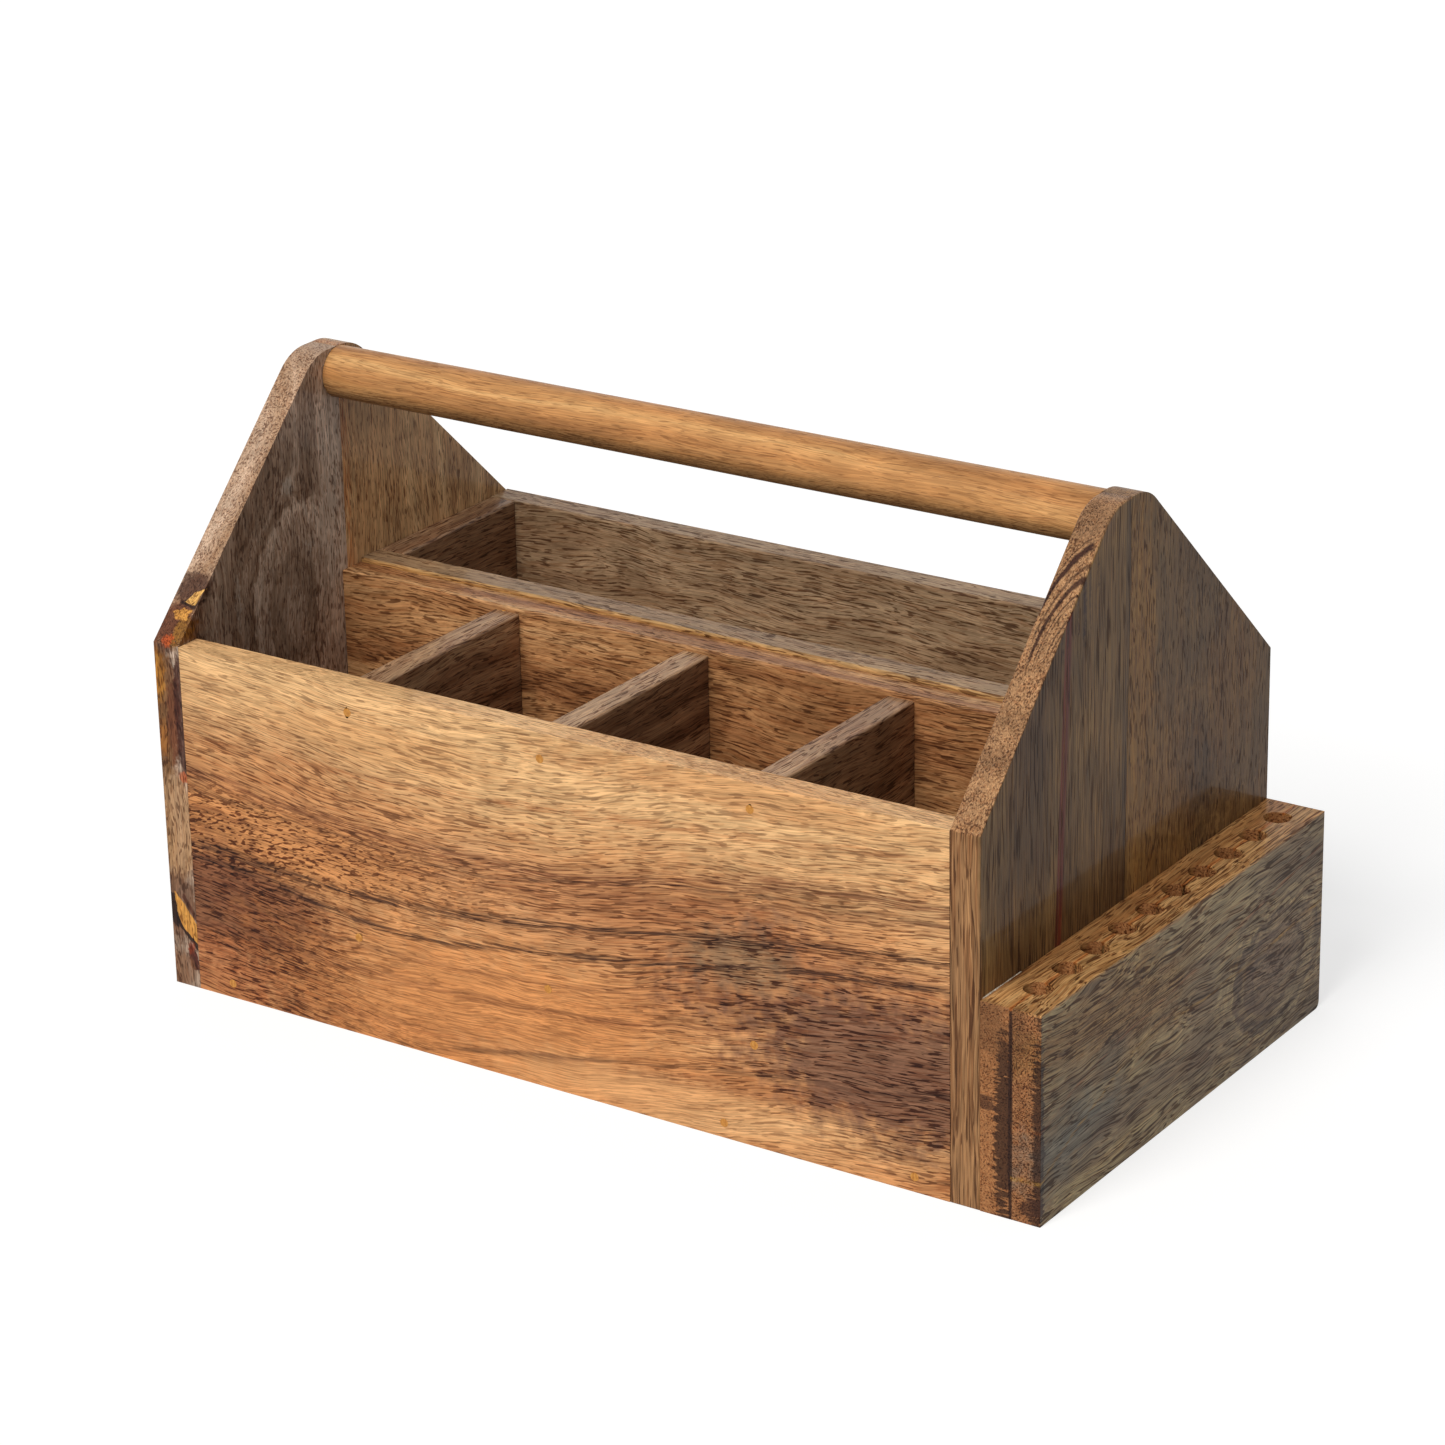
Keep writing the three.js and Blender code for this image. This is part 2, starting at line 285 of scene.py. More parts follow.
def bench_coordinates(recipe):
    """The surface's own place, in bench millimetres."""
    objects = recipe.add("TexCoord", {}, output=3)
    offset = -BENCH_CORNER / MM
    return recipe.vector("MULTIPLY_ADD", objects, (1 / MM, 1 / MM, 1 / MM), tuple(offset))


def line_height(recipe, along, line):
    """The height of a line drawn through (along, height) places on a board, in bench millimetres."""
    start, end = line[0][0], line[-1][0]
    low = min(height for _, height in line)
    rise = max(max(height for _, height in line) - low, 1.0)
    share = recipe.math("DIVIDE", recipe.math("SUBTRACT", along, start), end - start)
    points = [((x - start) / (end - start), (height - low) / rise) for x, height in line]
    return recipe.math("MULTIPLY_ADD", recipe.curve(share, points), rise, low)


print("bench corner", tuple(BENCH_CORNER))

# %% [markdown]
# ### One board's wood
# The class below holds a board's wood while it is being made: where its grain runs, how it bends, and the colour
# so far. Each method paints one thing that a real board shows, from the rings under everything to the lacquer on
# top, so a board is described by a short list of its own patches and lines.

# %% Places and edges in the wood
EDGE_NOISES = {"crumbs": (2.2, 2.2, 2.2), "teeth": (9.0, 9.0, 1.6)}
CORNER_SCALE = 3.0


class Grain:
    """Where a board's fibres run, and how the edges of what is drawn on it fray."""

    def __init__(self, name, grain, face, seed, wander, flow):
        recipe = self.recipe = Recipe(name)
        self.seed = seed
        self.grain_axis = tuple(float(letter == grain) for letter in AXES)
        self.face_axis = tuple(float(letter == face) for letter in AXES)
        self.place = bench_coordinates(recipe)
        self.axes = recipe.add("SeparateXYZ", {0: self.place}).node.outputs
        side = next(axis for axis in AXES if axis not in (grain, face))
        self.along = self.axes[AXES.index(grain)]
        self.across = self.axes[AXES.index(side)]
        depth = self.axes[AXES.index(face)]
        across = self.across
        if flow:
            across = recipe.math("SUBTRACT", across, line_height(recipe, self.along, flow))
        self.bend_grain(across, depth, wander)
        jag = recipe.noise(recipe.vector("MULTIPLY", self.place, (1 / 7, 1 / 7, 1 / 7)), detail=3.0)
        self.ragged = recipe.math("MULTIPLY_ADD", recipe.math("SUBTRACT", jag, 0.5), 0.8, self.slow_wave)
        self.edge_noises = {}

    def bend_grain(self, across, depth, wander):
        """Bends the board's cross-section slowly along its length, as a living trunk does."""
        recipe = self.recipe
        slow = recipe.combine(recipe.math("DIVIDE", self.along, 110), recipe.math("DIVIDE", across, 45),
                              recipe.math("MULTIPLY_ADD", depth, 1 / 45, self.seed))
        bend = recipe.noise(slow, detail=3.0, output=1)
        bend = recipe.vector("SUBTRACT", bend, (0.5, 0.5, 0.5))
        bends = recipe.add("SeparateXYZ", {0: bend}).node.outputs
        self.bent_across = recipe.math("MULTIPLY_ADD", bends[0], wander * 4, across)
        self.bent_depth = recipe.math("MULTIPLY_ADD", bends[1], wander * 3, depth)
        self.slow_wave = bends[2]
        self.fibre_place = recipe.combine(self.along, self.bent_across, self.bent_depth)

    def threads(self, length, width, detail):
        """Noise drawn out into threads that lie along the grain."""
        place = self.recipe.vector("MULTIPLY", self.fibre_place, (1 / length, 1 / width, 1 / width))
        return self.recipe.noise(place, detail=detail)

    def edge_noise(self, kind):
        """Fine noise, -0.5 to 0.5, that breaks up the edge of a patch."""
        if kind not in self.edge_noises:
            sizes = tuple(1 / size for size in EDGE_NOISES[kind])
            fine = self.recipe.noise(self.recipe.vector("MULTIPLY", self.place, sizes), detail=3.0)
            self.edge_noises[kind] = self.recipe.math("SUBTRACT", fine, 0.5)
        return self.edge_noises[kind]

    def cornered(self, corners, reach):
        """1 on the sides of a shape with straight sides in x and z, less inside it, no deeper than reach."""
        recipe = self.recipe
        inside = recipe.math("SUBTRACT", reach, self.axes[1])
        for (x, z), (next_x, next_z) in zip(corners, [*corners[1:], corners[0]]):
            inward = Vector((z - next_z, 0.0, next_x - x)).normalized()
            height = recipe.vector("DOT_PRODUCT", self.place, tuple(inward), output=1)
            height = recipe.math("SUBTRACT", height, inward.dot(Vector((x, 0.0, z))))
            inside = recipe.math("MINIMUM", inside, height)
        return recipe.math("MULTIPLY_ADD", inside, -1 / CORNER_SCALE, 1.0)

    def patch_mask(self, patch):
        """1 inside a soft, ragged egg or cornered shape, 0 outside."""
        recipe = self.recipe
        if "corners" in patch:
            distance = self.cornered(patch["corners"], patch["reach"])
        else:
            away = recipe.vector("SUBTRACT", self.place, patch["centre"])
            away = recipe.vector("DIVIDE", away, patch["radii"])
            distance = recipe.vector("LENGTH", away, output=1)
        distance = recipe.math("MULTIPLY_ADD", self.ragged, patch.get("rough", 0.5), distance)
        for kind in EDGE_NOISES:
            if kind in patch:
                distance = recipe.math("MULTIPLY_ADD", self.edge_noise(kind), patch[kind], distance)
        soft = patch.get("soft", 0.5)
        return recipe.step(distance, 1.0 + soft * 0.5, 1.0 - soft * 0.5)

    def streak_mask(self, line, width, wobble=3.0):
        """1 on a line drawn along the board, fading over width millimetres to each side."""
        recipe = self.recipe
        height = recipe.math("MULTIPLY_ADD", self.ragged, wobble, line_height(recipe, self.along, line))
        distance = recipe.math("ABSOLUTE", recipe.math("SUBTRACT", self.across, height))
        return recipe.step(distance, width, width * 0.15)


# %% Colours in the wood
PORE_TINT = (0.20, 0.125, 0.10, 1.0)
DASH_TINT = (0.60, 0.47, 0.39, 1.0)


class Wood(Grain):
    """A board's wood under construction. Each method paints over the colour so far."""

    def darken(self, amount, tint):
        self.colour = self.recipe.blend(amount, self.colour, tint, "MULTIPLY")

    def shade(self, value):
        grey = self.recipe.combine(value, value, value)
        self.colour = self.recipe.blend(1.0, self.colour, grey, "MULTIPLY")

    def rings(self, tones, pith, ring, contrast, patches):
        """Growth rings about the pith, lifted into swirls under patches that say so."""
        recipe = self.recipe
        off_across = recipe.math("SUBTRACT", self.bent_across, pith[0])
        off_depth = recipe.math("SUBTRACT", self.bent_depth, pith[1])
        radius = recipe.vector("LENGTH", recipe.combine(off_across, off_depth, 0.0), output=1)
        self.masks = [self.patch_mask(patch) for patch in patches]
        for patch, mask in zip(patches, self.masks):
            if "lift" in patch:
                radius = recipe.math("MULTIPLY_ADD", mask, patch["lift"], radius)
        place = recipe.combine(recipe.math("DIVIDE", radius, ring), recipe.math("DIVIDE", self.along, 260), self.seed)
        rings = recipe.noise(place, detail=4.0, roughness=0.6)
        rings = recipe.math("MULTIPLY_ADD", recipe.math("SUBTRACT", rings, 0.5), 1.9 * contrast, 0.5)
        self.colour = recipe.ramp(rings, tones)

    def facing(self, axis, low, high):
        """0 where the surface looks along axis by less than low, and 1 by more than high."""
        normal = self.recipe.add("NewGeometry", {}, output=1)
        share = self.recipe.math("ABSOLUTE", self.recipe.vector("DOT_PRODUCT", normal, axis, output=1))
        return self.recipe.step(share, low, high)

    def end_grain(self, tint, strength):
        """Faces cut across the grain drink more finish and turn its colour."""
        amount = self.recipe.math("MULTIPLY", self.facing(self.grain_axis, 0.2, 0.6), strength)
        self.colour = self.recipe.blend(amount, self.colour, tint)

    def clouds(self):
        recipe = self.recipe
        cloud = recipe.noise(recipe.vector("MULTIPLY", self.place, (1 / 30, 1 / 30, 1 / 30)), detail=3.0)
        self.shade(recipe.step(cloud, 0.3, 0.7, 0.87, 1.11))

    def patches(self, patches):
        for patch, mask in zip(patches, self.masks):
            if "colour" in patch:
                amount = self.recipe.math("MULTIPLY", mask, patch.get("strength", 0.7))
                self.colour = self.recipe.blend(amount, self.colour, patch["colour"])

    def patch_sum(self, start, key, patches):
        """start, plus what each patch adds for key."""
        total = start
        for patch, mask in zip(patches, self.masks):
            if key in patch:
                total = self.recipe.math("MULTIPLY_ADD", mask, patch[key], total)
        total = self.recipe.math("MAXIMUM", total, 0.0)
        return self.recipe.math("MINIMUM", total, 1.0)

    def streaks(self, streaks):
        """Lines along the board, broken into fibres, or solid but on the board's faces alone."""
        recipe = self.recipe
        broken = recipe.step(self.threads(24, 0.8, 2.0), 0.36, 0.60)
        for streak in streaks:
            mask = self.streak_mask(streak["line"], streak["width"], streak.get("wobble", 3.0))
            solid = streak.get("solid", False)
            mask = recipe.math("MULTIPLY", mask, self.facing(self.face_axis, 0.7, 0.9) if solid else broken)
            amount = recipe.math("MULTIPLY", mask, streak.get("strength", 0.7))
            self.colour = recipe.blend(amount, self.colour, streak["colour"])

    def arcs(self, pith, squeeze, bands, colour, patch):
        """Thick and thin arcs about a pith, which a slope's end grain shows, inside one patch."""
        recipe = self.recipe
        away = recipe.vector("SUBTRACT", self.place, (*pith, 0.0))
        away = recipe.vector("MULTIPLY", away, (squeeze, 1.0, 0.0))
        radius = recipe.math("MULTIPLY_ADD", self.edge_noise("crumbs"), 1.4, recipe.vector("LENGTH", away, output=1))
        radius = recipe.math("MULTIPLY_ADD", self.ragged, 2.0, radius)
        inside = self.patch_mask(patch)
        for middle, width, strength in bands:
            distance = recipe.math("ABSOLUTE", recipe.math("SUBTRACT", radius, middle))
            band = recipe.math("MULTIPLY", recipe.step(distance, width, width * 0.35), inside)
            self.colour = recipe.blend(recipe.math("MULTIPLY", band, strength), self.colour, colour)

    def fibres(self, fibre, bands):
        """Fine light and dark fibres, over broader soft bands."""
        recipe = self.recipe
        self.shade(recipe.step(self.threads(90, 2.6, 3.0), 0.3, 0.7, 1 - bands, 1 + bands))
        self.fine = self.threads(26, 0.6, 3.0)
        self.shade(recipe.step(self.fine, 0.32, 0.68, 1 - fibre, 1 + fibre))

    def pores(self, size, cover, strength):
        """Pores: threads cut into dashes, pale and dark, in loose crowds."""
        recipe = self.recipe
        length, width = size
        crowd = recipe.step(self.threads(50, 6, 2.0), 0.3, 0.7, 0.05, -0.05)
        threshold = 0.66 - 0.16 * cover
        dash = recipe.math("SUBTRACT", self.threads(length * 1.7, width * 1.5, 1.0), crowd)
        dash = recipe.step(dash, threshold - 0.06, threshold + 0.04)
        self.darken(recipe.math("MULTIPLY", dash, recipe.math("MULTIPLY", strength, 0.8)), DASH_TINT)
        self.hole = recipe.math("SUBTRACT", self.threads(length, width, 0.7), crowd)
        self.hole = recipe.step(self.hole, threshold, threshold + 0.06)
        self.darken(recipe.math("MULTIPLY", self.hole, strength), PORE_TINT)

    def flecks(self, size, amount):
        """Coarse flecks, a little askew to the grain."""
        recipe = self.recipe
        askew = recipe.math("MULTIPLY_ADD", self.along, -0.2, self.bent_across)
        place = recipe.combine(self.along, askew, self.bent_depth)
        place = recipe.vector("MULTIPLY", place, (1 / size[0], 1 / size[1], 1 / size[1]))
        self.blot = recipe.step(recipe.noise(place, detail=1.0), 0.53, 0.60)
        self.blot = recipe.math("MULTIPLY", self.blot, amount)
        self.darken(self.blot, PORE_TINT)

    def lacquer(self, bump):
        """A gloss that sinks a little over pores and rolls in slow brush waves."""
        recipe = self.recipe
        sunk = recipe.math("MAXIMUM", self.hole, self.blot)
        height = recipe.math("MULTIPLY_ADD", self.fine, 0.03, recipe.math("MULTIPLY", sunk, -0.07))
        height = recipe.math("MULTIPLY_ADD", self.threads(70, 11, 2.0), 0.22, height)
        normal = recipe.add("Bump", {"Strength": bump, "Distance": MM, "Height": height})
        roughness = recipe.math("MULTIPLY_ADD", sunk, 0.25, 0.34)
        return recipe.finish(recipe.add("BsdfPrincipled", {
            "Base Color": self.colour,
            "Roughness": recipe.math("MULTIPLY_ADD", self.fine, 0.14, roughness),
            "Normal": normal,
            "Specular IOR Level": 0.08,
            "Coat Weight": 0.14,
            "Coat Roughness": 0.06,
            "Coat Normal": normal,
        }))


# %% Lacquered wood


def lacquered_wood(name, grain, face, tones, pith, seed, ring=9.0, wander=5.0, contrast=1.0, flow=(),
                   pore=(9.0, 0.8), cover=0.5, pores=0.8, fibre=0.24, bands=0.12, flecks=0.0, fleck=(4.2, 1.3),
                   patches=(), streaks=(), arcs=None, end=None, bump=0.4):
    """A lacquered hardwood. grain and face name the axes that the grain runs along and the face looks along."""
    wood = Wood(name, grain, face, seed, wander, flow)
    wood.rings(tones, pith, ring, contrast, patches)
    if end:
        wood.end_grain(*end)
    wood.clouds()
    wood.patches(patches)
    wood.streaks(streaks)
    if arcs:
        wood.arcs(**arcs)
    wood.fibres(fibre, bands)
    wood.pores(pore, cover, wood.patch_sum(pores, "pores", patches))
    wood.flecks(fleck, wood.patch_sum(flecks, "flecks", patches))
    return wood.lacquer(bump)


# %% [markdown]
# ## Eased boards
# A sawn board has knife-sharp arrises; sandpaper and lacquer round them off, more where hands reach and hardly at
# all where two boards are glued. Each packed board is copied, its triangles are merged into flat faces, and each
# outer edge gets a weight for the Bevel modifier: full on open arrises, light on glued ones. Cutting the faces into
# small cells and pressing them in by a hair lets the light roll over the faces as it does on planed wood.

# %% Copy, merge and weigh the arrises
OPEN_ARRIS = 1.1 * MM
GLUED_SHARE = 0.3
CELL = 14 * MM
RIPPLE = 0.14 * MM
FLAT_LIMIT = math.radians(1.0)
CORNER_LIMIT = math.radians(40)
DIRECTIONS = {
    "-x": Vector((-1, 0, 0)), "+x": Vector((1, 0, 0)), "-y": Vector((0, -1, 0)),
    "+y": Vector((0, 1, 0)), "-z": Vector((0, 0, -1)), "+z": Vector((0, 0, 1)),
}


def merged_copy(node):
    shape = bmesh.new()
    shape.from_mesh(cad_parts[node].data)
    bmesh.ops.remove_doubles(shape, verts=shape.verts, dist=1e-6)
    bmesh.ops.dissolve_limit(shape, angle_limit=FLAT_LIMIT, verts=shape.verts, edges=shape.edges)
    return shape


def is_outer(face, points):
    """True for a face with the whole board behind it, so not for the wall of a hole."""
    reach = face.normal.dot(face.verts[0].co) + 1e-5
    return all(face.normal.dot(point) <= reach for point in points)


def weigh_arrises(shape, glued, glued_share):
    shape.normal_update()
    points = [vert.co.copy() for vert in shape.verts]
    outer = {face for face in shape.faces if is_outer(face, points)}
    weights = shape.edges.layers.float.new("bevel_weight_edge")
    glued_sides = [DIRECTIONS[side] for side in glued]
    for edge in shape.edges:
        if len(edge.link_faces) != 2 or not set(edge.link_faces) <= outer:
            continue
        if edge.calc_face_angle() < CORNER_LIMIT:
            continue
        is_glued = any(face.normal.dot(side) > 0.99 for face in edge.link_faces for side in glued_sides)
        edge[weights] = glued_share if is_glued else 1.0


def cut_into_cells(shape, cell=CELL):
    """Cuts the faces by planes that lie a cell apart along each axis."""
    for axis in range(3):
        low = min(vert.co[axis] for vert in shape.verts)
        high = max(vert.co[axis] for vert in shape.verts)
        count = int((high - low) / cell)
        normal = Vector([float(i == axis) for i in range(3)])
        for index in range(1, count):
            middle = Vector(normal) * (low + (high - low) * index / count)
            bmesh.ops.bisect_plane(shape, geom=[*shape.verts, *shape.edges, *shape.faces], dist=1e-7,
                                   plane_co=middle, plane_no=normal)


def press_in(shape, depth=RIPPLE, size=45 * MM, seed=0.0):
    """Moves each point into the wood by up to depth, in slow waves."""
    shape.normal_update()
    for vert in shape.verts:
        wave = noise.noise(vert.co / size + Vector((seed, seed, seed)))
        vert.co -= vert.normal * depth * (0.5 + 0.5 * wave)


def finish_piece(name, shape, material, nodes=(), bevel=0.0, segments=3):
    """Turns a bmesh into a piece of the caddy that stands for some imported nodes."""
    mesh = bpy.data.meshes.new(name)
    shape.to_mesh(mesh)
    shape.free()
    mesh.materials.append(material)
    piece = bpy.data.objects.new(name, mesh)
    scene.collection.objects.link(piece)
    for polygon in mesh.polygons:
        polygon.use_smooth = True
    mesh.set_sharp_from_angle(angle=CORNER_LIMIT)
    if bevel:
        modifier = piece.modifiers.new("arrises", "BEVEL")
        modifier.width = bevel
        modifier.segments = segments
        modifier.limit_method = "WEIGHT"
        modifier.harden_normals = False
    weighted = piece.modifiers.new("flat_faces", "WEIGHTED_NORMAL")
    weighted.keep_sharp = True
    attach(piece, "root")
    if nodes:
        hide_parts(*nodes)
    return piece


def eased_board(node, material, glued=(), seed=0.0, arris=OPEN_ARRIS, glued_share=GLUED_SHARE,
                before=None, after=None):
    """The eased copy of a packed board. before and after are further steps in its shaping."""
    shape = merged_copy(node)
    if before:
        before(shape)
    weigh_arrises(shape, glued, glued_share)
    cut_into_cells(shape)
    press_in(shape, seed=seed)
    if after:
        after(shape)
    piece = finish_piece(node + "_eased", shape, material, [node], bevel=arris)
    print(piece.name, len(piece.data.polygons), "faces")
    return piece


# %% [markdown]
# ## Front board
# The widest board, and the one that faces you, so its figure matters most. It is golden at the top, with two dark
# lines that sag and then rise to the right, a field of coarse flecks at the left, a smoky corner below it, plain
# orange wood at the bottom middle and a smoky feathered area at the right. Each of these is one patch or streak.

# %% Front board wood
front_tones = [
    (0.10, tone(146, 88, 52)),
    (0.34, tone(196, 134, 84)),
    (0.58, tone(218, 160, 106)),
    (0.85, tone(236, 192, 140)),
]
front_patches = [
    {"centre": (230, 0, 178), "radii": (330, 30, 50), "soft": 1.0, "rough": 0.7,
     "colour": tone(240, 196, 140), "strength": 0.75, "pores": -0.25},
    {"centre": (120, 0, 150), "radii": (60, 30, 10), "soft": 1.0, "rough": 2.0,
     "colour": tone(206, 148, 92), "strength": 0.5},
    {"centre": (340, 0, 168), "radii": (90, 30, 8), "soft": 1.0, "rough": 2.0,
     "colour": tone(200, 138, 84), "strength": 0.5},
    {"centre": (230, 0, 92), "radii": (420, 30, 22), "soft": 1.2, "rough": 0.9,
     "colour": tone(178, 118, 78), "strength": 0.4},
    {"centre": (60, 0, 88), "radii": (95, 30, 22), "soft": 0.9, "rough": 1.4,
     "colour": tone(214, 144, 84), "strength": 0.6, "flecks": 0.95, "pores": -0.3},
    {"centre": (30, 0, 45), "radii": (70, 30, 30), "soft": 1.0, "rough": 1.8,
     "colour": tone(118, 72, 50), "strength": 0.85, "flecks": 0.3, "pores": 0.3},
    {"centre": (80, 0, 22), "radii": (52, 30, 26), "soft": 1.0, "rough": 2.2,
     "colour": tone(140, 86, 48), "strength": 0.7, "flecks": 0.35, "pores": 0.2},
    {"centre": (25, 0, 14), "radii": (40, 30, 16), "soft": 1.0, "rough": 1.6,
     "colour": tone(190, 116, 70), "strength": 0.6},
    {"centre": (195, 0, 26), "radii": (110, 30, 36), "soft": 0.9, "rough": 1.2,
     "colour": tone(212, 142, 84), "strength": 0.85, "pores": -0.45},
    {"centre": (300, 0, 12), "radii": (90, 30, 14), "soft": 0.9, "rough": 1.2,
     "colour": tone(222, 168, 114), "strength": 0.7, "pores": -0.3},
    {"centre": (395, 0, 62), "radii": (84, 30, 34), "soft": 1.0, "rough": 2.2,
     "colour": tone(118, 82, 66), "strength": 0.85, "flecks": 0.15, "pores": 0.35},
    {"centre": (330, 0, 88), "radii": (30, 30, 13), "soft": 1.0, "rough": 1.4,
     "colour": tone(136, 120, 92), "strength": 0.5, "pores": 0.2},
]
RED_LINE = tone(112, 60, 38)
DARK_LINE = tone(66, 38, 28)
front_streaks = [
    {"line": [(15, 113), (70, 108), (140, 103), (200, 105), (300, 120), (380, 134), (435, 136)],
     "width": 7.0, "colour": RED_LINE, "strength": 0.7},
    {"line": [(15, 104), (90, 100), (160, 97), (240, 108), (330, 122), (435, 130)],
     "width": 2.2, "colour": DARK_LINE, "strength": 0.6},
    {"line": [(15, 78), (120, 72), (220, 82), (295, 93), (368, 105), (435, 113)],
     "width": 4.0, "colour": DARK_LINE, "strength": 0.9},
    {"line": [(15, 70), (60, 67), (130, 58), (205, 66), (280, 76), (340, 88), (435, 100)],
     "width": 3.2, "colour": DARK_LINE, "strength": 0.9},
    {"line": [(15, 130), (120, 132), (240, 140), (340, 150), (435, 158)],
     "width": 3.5, "colour": tone(176, 112, 66), "strength": 0.6},
    {"line": [(15, 96), (150, 92), (260, 104), (360, 120), (435, 128)],
     "width": 4.0, "colour": RED_LINE, "strength": 0.5},
    {"line": [(15, 36), (150, 34), (240, 40), (330, 56), (435, 78)],
     "width": 4.0, "colour": RED_LINE, "strength": 0.5},
    {"line": [(15, 50), (110, 46), (200, 50), (260, 58), (330, 70), (435, 90)],
     "width": 2.6, "colour": RED_LINE, "strength": 0.4},
    {"line": [(15, 8), (150, 12), (300, 22), (435, 40)],
     "width": 4.5, "colour": RED_LINE, "strength": 0.3},
    {"line": [(300, 30), (350, 38), (400, 44), (435, 52)],
     "width": 2.6, "colour": DARK_LINE, "strength": 0.6},
]
front_wood = lacquered_wood(
    "front_board_wood", "x", "y", front_tones, pith=(90, 210), seed=3.1, ring=11, wander=4.0, contrast=0.85,
    flow=[(15, 10), (70, 5), (140, 0), (200, 2), (300, 17), (380, 30), (435, 35)],
    cover=0.6, pores=0.75, patches=front_patches, streaks=front_streaks)

# %% Front board
eased_board("front_board", front_wood, glued=("-x", "+x"), seed=1.0)

# %% [markdown]
# ## Gables
# Each end is glued up from upright staves, so its grain stands on end and its slopes show rings cut askew. The two
# gables are told apart by their colour: the left one is smoky in front and golden behind, and the right one is
# grey-brown with yellow-brown mottling in its rear stave. The right gable's tones are also made darker than its wood
# as painted shade, because its outer face looks away from the lamp.
# The left front edge holds a knot and a strip of bark, stopped with gold filler, whose outlines are broken straight
# lines, so those patches have corners.

# %% Left gable woods
SLOPE_TAN = tone(180, 136, 96)
SEAM_RED = tone(104, 38, 22)
BARK = tone(42, 22, 15)
GOLD_FILLER = tone(214, 152, 72)
smoky_tones = [
    (0.10, tone(138, 112, 92)),
    (0.36, tone(174, 150, 130)),
    (0.60, tone(198, 174, 154)),
    (0.88, tone(220, 198, 178)),
]
golden_tones = [
    (0.10, tone(150, 110, 76)),
    (0.36, tone(192, 150, 106)),
    (0.60, tone(216, 176, 128)),
    (0.88, tone(234, 198, 150)),
]
EDGE_REACH = 3.0
left_edge_patches = [
    {"centre": (7, 0, 84), "radii": (12, 5, 30), "soft": 0.4, "rough": 0.5,
     "colour": tone(176, 134, 92), "strength": 0.85},
    {"centre": (4, 0, 142), "radii": (10, 5, 36), "soft": 0.4, "rough": 0.8, "crumbs": 0.5,
     "colour": tone(122, 82, 44), "strength": 0.9},
    {"centre": (2, 0, 160), "radii": (4, 5, 14), "soft": 0.8, "rough": 1.4, "crumbs": 1.0,
     "colour": tone(190, 128, 46), "strength": 0.75},
    {"centre": (3, 0, 126), "radii": (3, 5, 10), "soft": 0.8, "rough": 1.4, "crumbs": 1.0,
     "colour": tone(176, 112, 48), "strength": 0.6},
    {"centre": (9, 0, 136), "radii": (4, 5, 26), "soft": 0.8, "rough": 1.6, "crumbs": 1.4,
     "colour": tone(104, 54, 34), "strength": 0.75},
    {"centre": (14, 0, 140), "radii": (3.8, 4, 33), "soft": 0.3, "rough": 0.6, "crumbs": 0.5,
     "colour": tone(70, 32, 22), "strength": 0.9},
    {"centre": (13, 0, 109), "radii": (3, 4, 3.0), "soft": 0.5, "rough": 0.8, "crumbs": 1.6,
     "colour": tone(198, 108, 66), "strength": 0.85},
]
left_knot_patches = [
    {"centre": (6, 0, 40), "radii": (12, 4, 18), "soft": 0.6, "rough": 1.2, "crumbs": 0.8,
     "colour": tone(112, 74, 50), "strength": 0.8},
    {"corners": [(-2, 34), (3.5, 29), (6, 40), (2.5, 47), (-2, 47)], "reach": EDGE_REACH, "soft": 0.25,
     "rough": 0.3, "crumbs": 0.5, "colour": BARK, "strength": 0.95},
    {"corners": [(2, 33), (16, 18), (16, 25), (3, 37)], "reach": EDGE_REACH, "soft": 0.25,
     "rough": 0.3, "crumbs": 0.4, "colour": BARK, "strength": 0.95},
    {"corners": [(7, 46), (16, 33), (16, 37), (8, 49)], "reach": EDGE_REACH, "soft": 0.3,
     "rough": 0.3, "crumbs": 0.4, "colour": tone(84, 44, 30), "strength": 0.85},
    {"corners": [(-1, 46.5), (4, 36), (4.5, 32), (15.5, 22.5), (15.5, 33), (8, 43), (1.5, 49)],
     "reach": EDGE_REACH, "soft": 0.16, "rough": 0.3, "crumbs": 0.5, "colour": GOLD_FILLER, "strength": 0.97},
    {"corners": [(8.5, 19), (9.5, 11), (12, 8.5), (15, 10), (14.5, 18), (11, 22)], "reach": EDGE_REACH,
     "soft": 0.3, "rough": 0.4, "crumbs": 0.8, "colour": tone(74, 24, 16), "strength": 0.95},
    {"centre": (11, 0, 20), "radii": (2.6, 4, 3.5), "soft": 0.6, "rough": 0.8, "crumbs": 1.6,
     "colour": tone(136, 60, 34), "strength": 0.8},
    {"centre": (4, 0, 8), "radii": (10, 4, 10), "soft": 0.6, "rough": 0.8,
     "colour": tone(136, 92, 60), "strength": 0.6},
]
